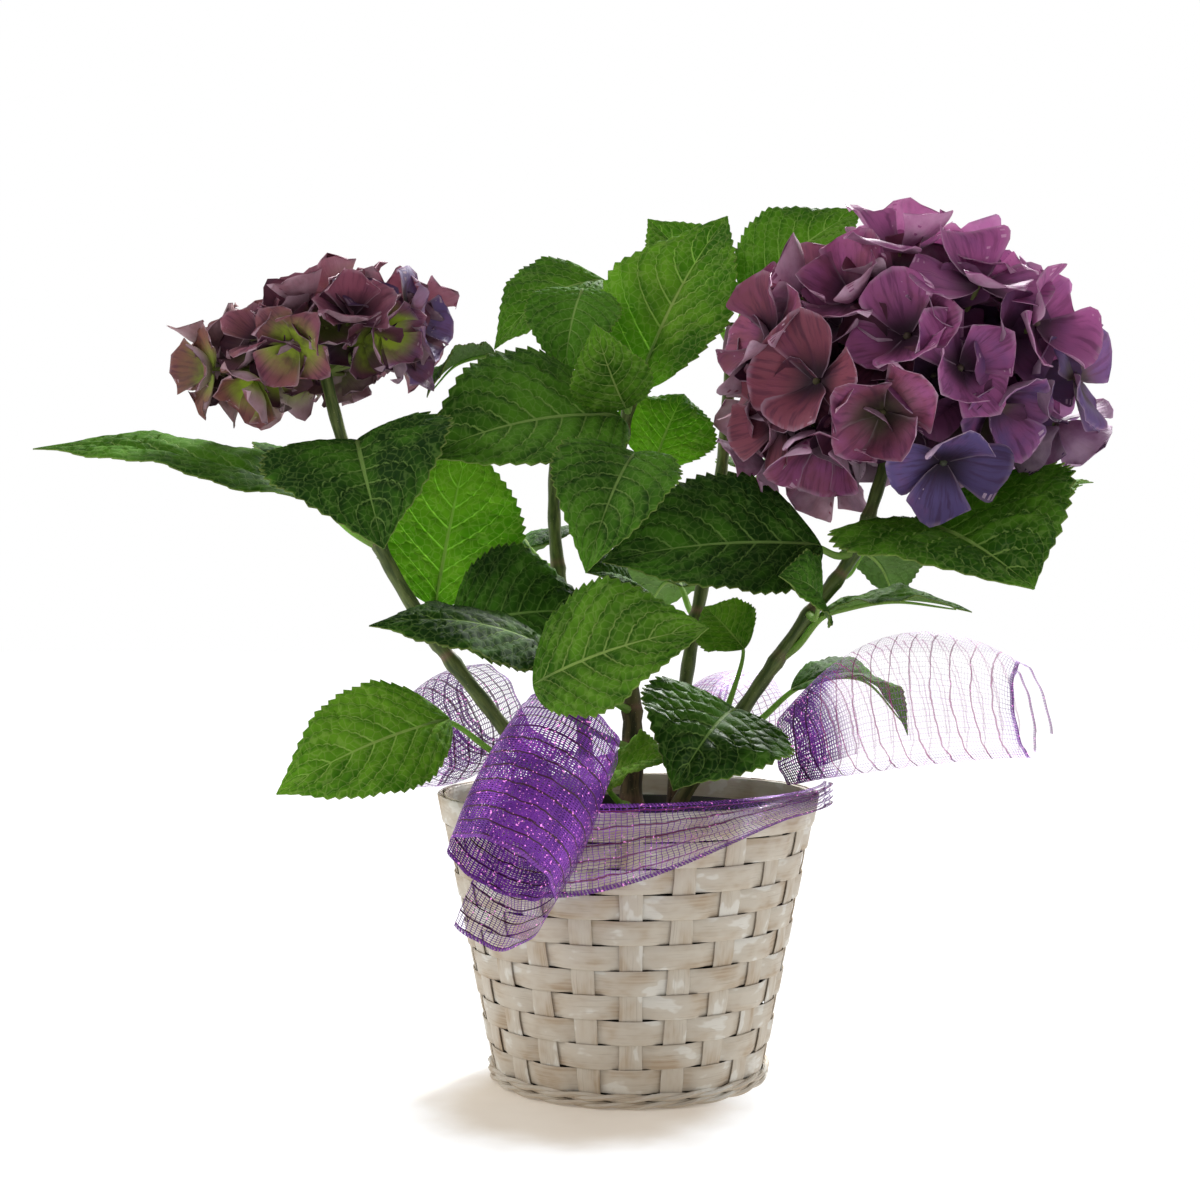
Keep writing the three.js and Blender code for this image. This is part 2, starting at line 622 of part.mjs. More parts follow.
function ribbonBand() {
  const steps = 16;
  const points = [];
  const normals = [];
  const radius = RIM_RADIUS + STRIP_THICKNESS / 2 + RIM_BAND + 3 * SEAT_GAP + RIBBON_THICKNESS / 2 + 0.6;
  for (let k = 0; k <= steps; k++) {
    const share = k / steps;
    const turn = THREE.MathUtils.degToRad(BAND_START + BAND_SWEEP * share);
    const out = v3(Math.cos(turn), Math.sin(turn), 0);
    const top = BASKET_HEIGHT + 5.5 - 2 * share;
    const width = BAND_NARROW + BAND_SPREAD * THREE.MathUtils.smoothstep(share, 0.25, 0.95);
    const heights = [top - width, top - width / 2, top];
    points.push(heights.map((z) => out.clone().multiplyScalar(radius).setZ(z)).reverse());
    normals.push([out, out, out]);
  }
  return sheet(points, normals, RIBBON_THICKNESS);
}

addBasket();
add("grow_pot", growPot(), blackPlastic);
add("soil", soil(), earth);
for (const [name, shape] of Object.entries(canes)) add(name, shape, caneGreen);
for (const [name, [cane, height, base, tip, width, face, arch, fold]] of Object.entries(LEAVES)) {
  const leaf = { cane, height, base: v3(...base), tip: v3(...tip), width, face: v3(...face), arch, fold };
  add(name, leafSolid(leaf), leafGreen);
}
for (const [name, head] of Object.entries(HEADS)) add(name, headSolid(head), head.material);
add("ribbon_band", ribbonBand(), purpleMesh);
for (const [name, shape] of Object.entries(CURLS)) add(name, curl(shape), purpleMesh);

export default group;
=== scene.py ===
# %% [markdown]
# # A potted hydrangea in a whitewashed basket
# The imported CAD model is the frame: every cane, leaf, strip and ribbon is already in its place and at its
# size. Each cell below takes one kind of piece, works out a finer surface for it with numpy, and gives it
# a finish.

import bpy
import numpy as np
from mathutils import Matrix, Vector


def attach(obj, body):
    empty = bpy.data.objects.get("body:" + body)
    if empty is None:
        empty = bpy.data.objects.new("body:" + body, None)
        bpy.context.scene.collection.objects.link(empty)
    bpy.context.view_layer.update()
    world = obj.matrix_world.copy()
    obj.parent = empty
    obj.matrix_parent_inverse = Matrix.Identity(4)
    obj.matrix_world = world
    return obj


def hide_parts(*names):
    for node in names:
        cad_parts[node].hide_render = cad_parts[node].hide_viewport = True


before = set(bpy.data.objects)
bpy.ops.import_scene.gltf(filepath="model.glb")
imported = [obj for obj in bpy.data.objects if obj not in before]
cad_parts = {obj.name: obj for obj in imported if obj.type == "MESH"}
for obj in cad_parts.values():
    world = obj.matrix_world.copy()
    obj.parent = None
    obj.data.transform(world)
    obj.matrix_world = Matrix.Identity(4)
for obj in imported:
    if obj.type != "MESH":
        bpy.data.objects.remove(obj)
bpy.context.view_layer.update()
MM = 0.001
print("CAD nodes:", len(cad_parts))

# %% [markdown]
# ## Camera and lamps
# The plant was seen from the front at the height of its leaves, with a bright white wall behind it. Light
# that comes mostly from behind makes thin leaves and petals glow, and throws the soft shadow of the
# basket forwards. The world gives the wall and the even light, and three lamps give the shape.

# %% Camera and lamps
CAMERA_PLACE = (-0.0118, -0.75, 0.198)
CAMERA_LENS = 53.58
MIDDLE = (0, 0, 0.2)
# Each lamp: its place in metres, the length of its side, and its power in watts.
LAMPS = {
    "lamp_behind": ((0.35, 1.1, 1.1), 0.25, 42),
    "lamp_left": ((-1.2, -0.5, 0.9), 0.3, 6),
    "lamp_right": ((1.0, -0.8, 0.6), 0.4, 2),
}


def add_camera():
    """A level camera that looks along +Y, on a 36 mm sensor."""
    data = bpy.data.cameras.new("camera")
    data.lens = CAMERA_LENS
    camera = bpy.data.objects.new("camera", data)
    camera.location = CAMERA_PLACE
    camera.rotation_euler = (np.pi / 2, 0, 0)
    bpy.context.scene.collection.objects.link(camera)
    bpy.context.scene.camera = camera


def add_lamp(name, place, size, power):
    """A square lamp at a place, turned to look at the middle of the plant."""
    data = bpy.data.lights.new(name, "AREA")
    data.size = size
    data.energy = power
    lamp = bpy.data.objects.new(name, data)
    lamp.location = place
    lamp.rotation_euler = (Vector(MIDDLE) - Vector(place)).to_track_quat("-Z", "Y").to_euler()
    bpy.context.scene.collection.objects.link(lamp)


add_camera()
for name, (place, size, power) in LAMPS.items():
    add_lamp(name, place, size, power)
bpy.context.scene.view_settings.view_transform = "Standard"
print("lamps:", ", ".join(LAMPS))

# %% [markdown]
# ## Shader sums as plain Python
# A material is a sum over the surface: so much green here, a pale line there. Wiring Math nodes by hand
# hides the sum, so a small class wraps a socket and lets Python's own signs add the nodes. One method
# makes any other node.

# %% Shader sums as plain Python
UV_NAME = "pattern"


class Wire:
    """A socket of a node tree. Signs between wires and numbers add Math nodes."""

    def __init__(self, tree, socket=None):
        self.tree = tree
        self.socket = socket

    def node(self, kind, settings, sockets, out=0):
        """Adds a node: its settings are set first, then its sockets get numbers, colours or wires."""
        made = self.tree.nodes.new("ShaderNode" + kind)
        for name, value in settings.items():
            setattr(made, name, value)
        for name, value in sockets.items():
            if isinstance(value, Wire):
                self.tree.links.new(value.socket, made.inputs[name])
            else:
                made.inputs[name].default_value = value
        return Wire(self.tree, made.outputs[out] if made.outputs else None)

    def port(self, number):
        """Another output of this wire's node."""
        return Wire(self.tree, self.socket.node.outputs[number])

    def math(self, operation, *values):
        return self.node("Math", {"operation": operation}, dict(enumerate(values)))

    def __add__(self, other):
        return self.math("ADD", self, other)

    def __sub__(self, other):
        return self.math("SUBTRACT", self, other)

    def __rsub__(self, other):
        return self.math("SUBTRACT", other, self)

    def __mul__(self, other):
        return self.math("MULTIPLY", self, other)

    def __truediv__(self, other):
        return self.math("DIVIDE", self, other)

    def __abs__(self):
        return self.math("ABSOLUTE", self)

    __radd__ = __add__
    __rmul__ = __mul__

    def rise(self, low, high, bottom=0.0, top=1.0):
        """Goes smoothly from bottom to top while this wire goes from low to high."""
        sockets = {"Value": self, "From Min": low, "From Max": high, "To Min": bottom, "To Max": top}
        return self.node("MapRange", {"interpolation_type": "SMOOTHSTEP"}, sockets)

    def mix(self, dark, light):
        """A colour between two, this wire being the share of the second."""
        sockets = {0: self, 6: dark, 7: light}
        return self.node("Mix", {"data_type": "RGBA"}, sockets, out=2)

    def noise(self, place, scale, detail=2.0, roughness=0.5):
        sockets = {"Vector": place, "Scale": scale, "Detail": detail, "Roughness": roughness}
        return self.node("TexNoise", {}, sockets)

    def uv(self):
        """The piece's own two surface coordinates, as a vector."""
        return self.node("UVMap", {"uv_map": UV_NAME}, {})

    def mark(self, name):
        """A number that the piece carries at each of its points."""
        return self.node("Attribute", {"attribute_name": name}, {}, out=2)

    def place(self):
        """Where a point lies in the part's own frame, in metres."""
        return self.node("TexCoord", {}, {}, out=3)

    def bump(self, height, distance, strength=1.0):
        return self.node("Bump", {}, {"Height": height, "Distance": distance, "Strength": strength})


def split(vector):
    """The first two parts of a vector wire."""
    parts = vector.node("SeparateXYZ", {}, {"Vector": vector})
    return parts, parts.port(1)


def colour(red, green, blue):
    """A colour as a screen shows it, from 0 to 255, in the linear numbers that shaders take."""
    shown = np.array([red, green, blue]) / 255
    linear = np.where(shown > 0.04045, ((shown + 0.055) / 1.055) ** 2.4, shown / 12.92)
    return (*linear.tolist(), 1.0)


def finish(name, paint, glow=None):
    """A material whose Principled sockets come from paint(start).

    glow is (mark, least, most, colour): the share of light that comes through goes from least to most
    with that mark. Where paint also gives "clearer", as on a leaf's veins, that is added to the share."""
    material = bpy.data.materials.new(name)
    material.use_nodes = True
    tree = material.node_tree
    tree.nodes.clear()
    start = Wire(tree)
    sockets = paint(start)
    clearer = sockets.pop("clearer", 0.0)
    shader = start.node("BsdfPrincipled", {}, sockets)
    if glow:
        mark, least, most, tone = glow
        through = start.node("BsdfTranslucent", {}, {"Color": tone})
        share = start.mark(mark) * (most - least) + least + clearer
        shader = start.node("MixShader", {}, {0: share, 1: shader, 2: through})
    start.node("OutputMaterial", {}, {"Surface": shader})
    return material


# %% [markdown]
# ## The room
# The world's colour goes from white at the back, +Y, to grey at the front. Its shadow side stays dark
# that way, and gloss on the leaves mirrors a dim room in place of a white one.

# %% The room
ROOM_FRONT = 0.27


def add_room():
    """Brightness = a smooth rise from the grey front to the white back, over the direction's Y."""
    world = bpy.data.worlds.new("room")
    world.use_nodes = True
    world.node_tree.nodes.clear()
    start = Wire(world.node_tree)
    way = start.node("TexCoord", {}, {})
    _, ahead = split(way)
    light = ahead.rise(-0.45, 0.4, ROOM_FRONT, 1.0)
    shade = start.node("Background", {}, {"Color": light, "Strength": 1.0})
    start.node("OutputWorld", {}, {"Surface": shade})
    bpy.context.scene.world = world


add_room()

# %% [markdown]
# ## Surfaces from arrays
# Strips, canes, leaves and petals are all one thing: a closed outline that is carried along a path and
# changes on the way. So one class takes a grid of points, rows along the path and columns round the
# outline, joins neighbours with faces, closes the two ends, and keeps a UV place for each face corner. It
# also keeps marks for the finish, which are numbers on points, such as how barky a cane is there.

# %% Surfaces from arrays
class Shape:
    """A mesh in the making, out of skins: grids of points, in metres."""

    def __init__(self):
        self.points, self.faces, self.uv, self.marks = [], [], [], []
        self.count = 0

    def skin(self, grid, along, around, marks=None, ring=False, open_sheet=False):
        """Adds a grid of points.

        around has one value more than the grid has columns, for the way back to the first one, and so has
        along for rows when the skin is a ring. An open sheet has neither way back nor ends."""
        rows, columns = grid.shape[:2]
        row_steps = rows if ring else rows - 1
        column_steps = columns - 1 if open_sheet else columns
        i, j = (side.ravel() for side in np.indices((row_steps, column_steps)))
        steps = [(i, j), (i + 1, j), (i + 1, j + 1), (i, j + 1)]
        corners = np.stack([(a % rows) * columns + b % columns for a, b in steps], 1)
        places = np.stack([np.stack([around[b], along[a]], -1) for a, b in steps], 1)
        flat = grid.reshape(-1, 3)
        quads = flat[corners]
        middle = flat.mean(0)
        normal = np.cross(quads[:, 2] - quads[:, 0], quads[:, 3] - quads[:, 1])
        inside_out = not open_sheet and np.sum(normal * (quads.mean(1) - middle)) < 0
        faces = [face.tolist() for face in corners + self.count]
        uv = list(places)
        if not ring and not open_sheet:
            first = np.arange(columns)
            last = first + (rows - 1) * columns
            faces += [(first[::-1] + self.count).tolist(), (last + self.count).tolist()]
            uv += [
                np.stack([around[first[::-1]], np.full(columns, along[0])], -1),
                np.stack([around[first], np.full(columns, along[rows - 1])], -1),
            ]
        if inside_out:
            faces = [face[::-1] for face in faces]
            uv = [place[::-1] for place in uv]
        self.points.append(flat)
        self.faces += faces
        self.uv += uv
        marks = marks or {}
        self.marks.append({name: np.broadcast_to(marks[name], (rows, columns)).ravel() for name in marks})
        self.count += len(flat)

    def piece(self, name, material, slot, *stands_for, crease=50):
        """Makes the mesh and its object, which rides with the plant and stands for its CAD nodes."""
        mesh = bpy.data.meshes.new(name)
        mesh.from_pydata(np.concatenate(self.points).tolist(), [], self.faces)
        layer = mesh.uv_layers.new(name=UV_NAME)
        layer.data.foreach_set("uv", np.concatenate(self.uv).astype(np.float32).ravel())
        for mark in self.marks[0]:
            values = np.concatenate([marks[mark] for marks in self.marks]).astype(np.float32)
            mesh.attributes.new(mark, "FLOAT", "POINT").data.foreach_set("value", values)
        mesh.shade_smooth()
        mesh.set_sharp_from_angle(angle=np.radians(crease))
        mesh.materials.append(material)
        made = bpy.data.objects.new(name, mesh)
        bpy.context.scene.collection.objects.link(made)
        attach(made, "root")
        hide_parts(*stands_for)
        print(f"{name}: {sum(len(face) - 2 for face in self.faces)} triangles")
        return made


def unit(vectors):
    """The vectors at length 1."""
    return vectors / np.linalg.norm(vectors, axis=-1, keepdims=True)


def smooth(low, high, values):
    """0 up to low, 1 from high, and a smooth rise between them."""
    share = np.clip((np.asarray(values) - low) / (high - low), 0, 1)
    return share * share * (3 - 2 * share)


# %% [markdown]
# ## Paths
# A cane or leaf stalk is a rod along a smooth curve through a few points. A centripetal spline passes
# through each of them without loops, and it is what the CAD canes follow, so the finer canes lie on them.

# %% Paths
def curve_through(points, steps):
    """Points at equal distances along the centripetal spline through the given points.

    Between two points the curve is a cubic whose end slopes come from the three nearest chords, each
    divided by the square root of its length."""
    points = np.asarray(points, float)
    whole = np.vstack([2 * points[0] - points[1], points, 2 * points[-1] - points[-2]])
    spans = np.sqrt(np.linalg.norm(np.diff(whole, axis=0), axis=1))[:, None]
    share = np.linspace(0, 1, 24, endpoint=False)[:, None]
    parts = []
    for k in range(len(points) - 1):
        a, b, c, d = whole[k : k + 4]
        before, now, after = spans[k : k + 3]
        start = ((b - a) / before - (c - a) / (before + now) + (c - b) / now) * now
        end = ((c - b) / now - (d - b) / (now + after) + (d - c) / after) * now
        square, cube = 3 * (c - b) - 2 * start - end, 2 * (b - c) + start + end
        parts.append(b + start * share + square * share**2 + cube * share**3)
    fine = np.vstack([*parts, points[-1]])
    length = np.concatenate([[0], np.cumsum(np.linalg.norm(np.diff(fine, axis=0), axis=1))])
    even = np.linspace(0, length[-1], steps + 1)
    return np.stack([np.interp(even, length, fine[:, axis]) for axis in range(3)], 1)


def rod_grid(path, radius, sides):
    """Circles round a path: path + radius * (across * cos + depth * sin), both square to the path."""
    ahead = unit(np.gradient(path, axis=0))
    reference = np.eye(3)[np.argmin(np.abs(ahead).max(0))]
    across = unit(np.cross(ahead, reference))
    depth = np.cross(ahead, across)
    turn = np.linspace(0, 2 * np.pi, sides, endpoint=False)[:, None]
    circle = across[:, None] * np.cos(turn) + depth[:, None] * np.sin(turn)
    return path[:, None] + np.broadcast_to(radius, (len(path), 1))[..., None] * circle


def add_rod(shape, path, radius, sides, marks=None):
    """Adds a rod to a shape, with its UV in metres along it and round it."""
    radius = np.broadcast_to(np.asarray(radius, float).reshape(-1, 1), (len(path), 1))
    length = np.concatenate([[0], np.cumsum(np.linalg.norm(np.diff(path, axis=0), axis=1))])
    around = np.linspace(0, 2 * np.pi * radius.mean(), sides + 1)
    shape.skin(rod_grid(path, radius, sides), length, around, marks)


# %% [markdown]
# ## Whitewashed wood
# The basket is split-wood strip, brushed with thin white paint that has worn back to tan along the grain.
# Grain is noise pulled long: it changes fast across the strip and slowly along it. The strip's own UV in
# metres carries it round the basket. A second, rounder noise says where the paint lies thick.

# %% Whitewashed wood
def whitewash_paint(start):
    """A paint for strips: UV is (across, along), both in metres."""
    across, along = split(start.uv())
    grain_place = start.node("CombineXYZ", {}, {"X": across * 900, "Y": along * 22})
    patch_place = start.node("CombineXYZ", {}, {"X": across * 90, "Y": along * 45})
    grain = start.noise(grain_place, 1.0, 3.0, 0.6)
    lines = start.noise(grain_place, 2.6, 2.0, 0.5)
    patches = start.noise(patch_place, 1.0, 3.0, 0.55)
    wood = grain.rise(0.3, 0.7).mix(colour(164, 142, 116), colour(190, 174, 152))
    washed = patches.rise(0.3, 0.56).mix(wood, colour(196, 186, 170))
    thick = patches.rise(0.57, 0.62) * 0.8
    painted = thick.mix(washed, colour(216, 212, 202))
    worn = (lines.rise(0.58, 0.72) * 0.3).mix(painted, colour(128, 108, 86))
    height = grain * 0.6 + patches * 0.5
    return {
        "Base Color": worn,
        "Roughness": patches.rise(0.3, 0.7, 0.8, 0.6),
        "Normal": start.bump(height, 0.35 * MM, 0.8),
    }


whitewash = finish("whitewashed_strip", whitewash_paint)

# %% [markdown]
# ## The woven wall
# Twenty-two upright staves stand round the base. Each woven strip runs outside one stave and inside the
# next, and the row above does the opposite. The strip's distance from the wall is a sine that changes
# sign at each stave, flattened so that it lies along the stave's full width. Staves bend the other way by
# a little, as real ones do.

# %% The woven wall
BASKET_HEIGHT = 118 * MM
BASE_RADIUS = 55 * MM
RIM_RADIUS = 78 * MM
STAVES = 22
STAVE_WIDTH = 9 * MM
STRIP_THICKNESS = 0.65 * MM
ROWS = 10
ROW_PITCH = 10 * MM
ROW_HEIGHT = 9.75 * MM
FIRST_ROW = 5.8 * MM
WEAVE_CLEAR = 0.85 * MM
BASE_THICKNESS = 2.4 * MM
draw = np.random.default_rng(5)


def wall_radius(z):
    """The cone that the middles of the strips follow."""
    return BASE_RADIUS + (RIM_RADIUS - BASE_RADIUS) * z / BASKET_HEIGHT


def strip_outline(width, thickness):
    """A flat strip's cross-section: a rectangle with worn edges, as (across, out) points."""
    across = np.array([-1, -0.94, -0.4, 0.4, 0.94, 1]) * width / 2
    out = np.array([0.2, 0.5, 0.5, 0.5, 0.5, 0.2]) * thickness
    return np.concatenate([across, across[::-1]]), np.concatenate([out, -out[::-1]])


def ring_wave(turn, amplitude, counts=(3, 5, 8, 13)):
    """A sum of sines round a ring with drawn phases, for hand-made unevenness."""
    phases = draw.uniform(0, 2 * np.pi, len(counts))
    return amplitude * sum(np.sin(n * turn + p) / (1 + 0.2 * n) for n, p in zip(counts, phases))


def add_hoop(shape, low, high, offset, thickness, wave, steps=220, sweep=2 * np.pi, begin=0.0):
    """A flat strip round the wall: z = middle + across, radius = wall(z) + offset(turn) + out."""
    ring = sweep == 2 * np.pi
    turn = begin + np.linspace(0, sweep, steps + (0 if ring else 1), endpoint=not ring)[:, None]
    across, out = strip_outline(high - low, thickness)
    squeeze = 1 + ring_wave(turn, 0.02)
    z = (low + high) / 2 + across * squeeze + ring_wave(turn, wave)
    radius = wall_radius(z) + offset(turn) + out
    grid = np.stack([radius * np.cos(turn), radius * np.sin(turn), np.broadcast_to(z, radius.shape)], -1)
    length = np.linspace(0, sweep, steps + 1) * wall_radius((low + high) / 2) + draw.uniform(0, 9)
    shape.skin(grid, length, np.append(across, across[0]), ring=ring)


def add_woven_row(row):
    """offset = clear * (-1)^row * tanh(2.2 sin(11 turn)) / tanh(2.2). The crests lie on the staves."""
    middle = FIRST_ROW + ROW_PITCH * (row + 0.5)
    sign = WEAVE_CLEAR * (-1) ** row / np.tanh(2.2)
    shape = Shape()
    add_hoop(
        shape,
        middle - ROW_HEIGHT / 2,
        middle + ROW_HEIGHT / 2,
        lambda turn: sign * np.tanh(2.2 * np.sin(STAVES / 2 * turn)),
        STRIP_THICKNESS,
        0.2 * MM,
    )
    node = f"weaver_{row + 1:02d}"
    shape.piece(f"woven_{row + 1:02d}", whitewash, "whitewashed_wood", node)


for row in range(ROWS):
    add_woven_row(row)

# %% [markdown]
# ## Staves and woven base
# Under the pot the same strips cross each other, over and under, inside the circle of the base. Each is a
# ribbon whose height is a sine along it, with the crossing strips half a wave apart.

# %% Staves and woven base
def add_stave(shape, number):
    """offset = -0.3 mm * (-1)^number * sin(pi * rows up the wall), away from the woven strips."""
    turn = 2 * np.pi * (number + 0.5) / STAVES
    z = np.linspace(0.3 * MM, BASKET_HEIGHT, 61)[:, None]
    across, out = strip_outline(STAVE_WIDTH, STRIP_THICKNESS)
    away = -0.3 * MM * (-1) ** number * np.sin(np.pi * (z - FIRST_ROW) / ROW_PITCH)
    reach = wall_radius(z) + away + out
    side = across * (1 + 0.03 * np.sin(40 * z / BASKET_HEIGHT + number))
    x = reach * np.cos(turn) - side * np.sin(turn)
    y = reach * np.sin(turn) + side * np.cos(turn)
    grid = np.stack([x, y, np.broadcast_to(z, x.shape)], -1)
    shape.skin(grid, z[:, 0] + 3.1 * number, np.append(across, across[0]))


BASE_PITCH = 9.6 * MM
BASE_STRIP = (9.2 * MM, 0.8 * MM)
BASE_STRIPS = range(-5, 6)


def add_base_strip(shape, number, crosswise):
    """z = middle + 0.5 mm * cos(pi * (place along it / pitch + number)), cut to the circle of the base."""
    aside = number * BASE_PITCH
    half = np.sqrt((BASE_RADIUS - 1 * MM) ** 2 - (abs(aside) + 3 * MM) ** 2)
    along = np.linspace(-half, half, 60)[:, None]
    across, out = strip_outline(*BASE_STRIP)
    wave = 0.5 * MM * np.cos(np.pi * (along / BASE_PITCH + number)) * (-1 if crosswise else 1)
    z = BASE_THICKNESS / 2 + wave + out
    level = np.broadcast_to(along, z.shape)
    beside = np.broadcast_to(aside + across, z.shape)
    grid = np.stack([beside, level, z] if crosswise else [level, beside, z], -1)
    shape.skin(grid, along[:, 0] + 2.3 * number, np.append(across, across[0]))


staves = Shape()
for number in range(STAVES):
    add_stave(staves, number)
for number in BASE_STRIPS:
    add_base_strip(staves, number, False)
    add_base_strip(staves, number, True)
staves.piece("staves_and_base", whitewash, "whitewashed_wood", "basket_staves")

# %% [markdown]
# ## Rim and foot
# The rim is bound between two wide bands, and the outer one laps over its own start at the right. At the
# foot a pair of thin splints is twisted into a cord. A twist is two rods whose middles circle a ring,
# opposite each other.

# %% Rim and foot
RIM_BAND_HEIGHT = 11.5 * MM
RIM_BAND = 1.2 * MM
LAP_TURN = np.radians(-34)
LAP = np.radians(14)
band_low = BASKET_HEIGHT - RIM_BAND_HEIGHT
seat = 1.4 * MM
full_turn = LAP_TURN + 2 * np.pi

rim_outer = Shape()
add_hoop(
    rim_outer,
    band_low,
    BASKET_HEIGHT - 0.2 * MM,
    lambda turn: seat + RIM_BAND * smooth(full_turn - 0.06, full_turn, turn),
    RIM_BAND * 0.9,
    0.12 * MM,
    sweep=2 * np.pi + LAP,
    begin=LAP_TURN,
)
rim_outer.piece("rim_band_outer", whitewash, "whitewashed_wood", "rim_outer")
rim_inner = Shape()
add_hoop(rim_inner, band_low, BASKET_HEIGHT - 0.3 * MM, lambda turn: -seat, RIM_BAND, 0.12 * MM)
rim_inner.piece("rim_band_inner", whitewash, "whitewashed_wood", "rim_inner")

FOOT_TWISTS = STAVES / 2
FOOT_SPLINT = 1.05 * MM
FOOT_SWING = 0.7 * MM
foot = Shape()
for pair, strand in [(0, 0), (0, np.pi), (1, 0.6), (1, 0.6 + np.pi)]:
    turn = np.linspace(0, 2 * np.pi, 265)[:, None]
    twist = FOOT_TWISTS * turn + strand
    radius = BASE_RADIUS + (2.0 + 0.3 * pair) * MM + FOOT_SWING * np.cos(twist)
    height = (1.9 + 2.8 * pair) * MM + FOOT_SWING * np.sin(twist)
    path = np.hstack([radius * np.cos(turn), radius * np.sin(turn), height])
    add_rod(foot, path, FOOT_SPLINT, 6)
foot.piece("foot_cord", whitewash, "whitewashed_wood", "foot_hoop")

# %% [markdown]
# ## Grow pot and soil
# A thin black nursery pot stands in the basket: a wall turned about the upright axis, with a rolled lip.
# The soil in it is one skin too. Its rows are rings that go from the middle of its floor, up the wall and
# in again over the top, where sums of sines with drawn directions make lumps. Chips of bark are small
# bent boxes on that surface.

# %% Grow pot and soil
POT_FLOOR = BASE_THICKNESS + 0.3 * MM
POT_HEIGHT = 106 * MM
POT_TOP_RADIUS = 72 * MM
POT_BASE_RADIUS = 51 * MM
POT_WALL = 1.4 * MM
SOIL_TOP = 97 * MM


def turned_grid(profile, sides):
    """Each (radius, height) of a profile as a ring of points round the upright axis."""
    turn = np.linspace(0, 2 * np.pi, sides, endpoint=False)
    radius, height = np.asarray(profile, float).T[..., None]
    return np.stack([radius * np.cos(turn), radius * np.sin(turn), height + 0 * turn], -1)


def plastic_paint(start):
    """Black plastic with a film of dust."""
    place = start.place()
    dust = start.noise(place, 60.0, 4.0, 0.6)
    return {
        "Base Color": dust.rise(0.45, 0.75).mix(colour(24, 23, 22), colour(70, 62, 54)),
        "Roughness": dust.rise(0.3, 0.7, 0.35, 0.7),
        "Normal": start.bump(start.noise(place, 900.0), 0.05 * MM, 0.4),
    }


def soil_paint(start):
    """Dark crumbs with pale flecks, and chips of bark where the mark chip is high."""
    place = start.place()
    crumbs = start.node("TexVoronoi", {}, {"Vector": place, "Scale": 420.0})
    fine = start.noise(place, 700.0, 4.0, 0.7)
    damp = start.noise(place, 35.0, 3.0)
    chip = start.mark("chip")
    dark = damp.rise(0.35, 0.65).mix(colour(30, 22, 16), colour(62, 46, 34))
    flecked = (fine.rise(0.6, 0.72) * 0.7).mix(dark, colour(112, 88, 64))
    bark_tone = fine.rise(0.3, 0.7).mix(colour(52, 36, 26), colour(110, 82, 58))
    return {
        "Base Color": (chip * 0.85).mix(flecked, bark_tone),
        "Roughness": damp.rise(0.3, 0.7, 0.85, 1.0),
        "Normal": start.bump(crumbs * -1.0 + fine * 0.6, 1.2 * MM, 0.9),
    }


black_plastic = finish("black_plastic", plastic_paint)
damp_soil = finish("damp_soil", soil_paint)

pot_rim = POT_FLOOR + POT_HEIGHT
pot = Shape()
pot_profile = [
    (0.1 * MM, POT_FLOOR),
    (POT_BASE_RADIUS - 1 * MM, POT_FLOOR),
    (POT_BASE_RADIUS, POT_FLOOR + 1 * MM),
    (POT_TOP_RADIUS - 1.6 * MM, pot_rim - 5 * MM),
    (POT_TOP_RADIUS - 0.2 * MM, pot_rim - 4.5 * MM),
    (POT_TOP_RADIUS, pot_rim - 0.8 * MM),
    (POT_TOP_RADIUS - 0.7 * MM, pot_rim),
    (POT_TOP_RADIUS - POT_WALL - 0.5 * MM, pot_rim - 0.6 * MM),
    (POT_TOP_RADIUS - POT_WALL - 2.6 * MM, pot_rim - 6 * MM),
    (POT_BASE_RADIUS - POT_WALL, POT_FLOOR + POT_WALL),
    (0.1 * MM, POT_FLOOR + POT_WALL),
]
pot.skin(turned_grid(pot_profile, 72), np.linspace(0, 1, 11), np.linspace(0, 1, 73))
pot.piece("nursery_pot", black_plastic, "black_plastic", "grow_pot", crease=35)


def ground(x, y):
    """Lumpy soil: mound + sum of sines along drawn directions, each smaller as its waves get shorter."""
    chance = np.random.default_rng(11)
    height = SOIL_TOP + 3 * MM - 4 * MM * (np.hypot(x, y) / POT_TOP_RADIUS) ** 2
    for waves in (90, 140, 230, 380, 600, 900):
        for _ in range(3):
            way = chance.uniform(0, 2 * np.pi)
            phase = chance.uniform(0, 2 * np.pi)
            height = height + 0.075 / waves * np.sin(waves * (x * np.cos(way) + y * np.sin(way)) + phase)
    return height


SOIL_FLOOR = POT_FLOOR + POT_WALL + 0.3 * MM
soil_narrow = POT_BASE_RADIUS - 2.6 * MM
soil_wide = soil_narrow + (POT_TOP_RADIUS - POT_BASE_RADIUS) * (SOIL_TOP - SOIL_FLOOR) / POT_HEIGHT
soil_profile = [(0.1 * MM, SOIL_FLOOR), (soil_narrow, SOIL_FLOOR)]
soil_profile += [(soil_wide * share, SOIL_TOP) for share in np.linspace(1, 0.002, 54)]
soil_grid = turned_grid(soil_profile, 150)
top = soil_grid[2:]
top[..., 2] = ground(top[..., 0], top[..., 1])
soil = Shape()
rings = np.linspace(0, 1, len(soil_profile))
soil.skin(soil_grid, rings, np.linspace(0, 1, 151), {"chip": 0.0})

CHIPS = 260


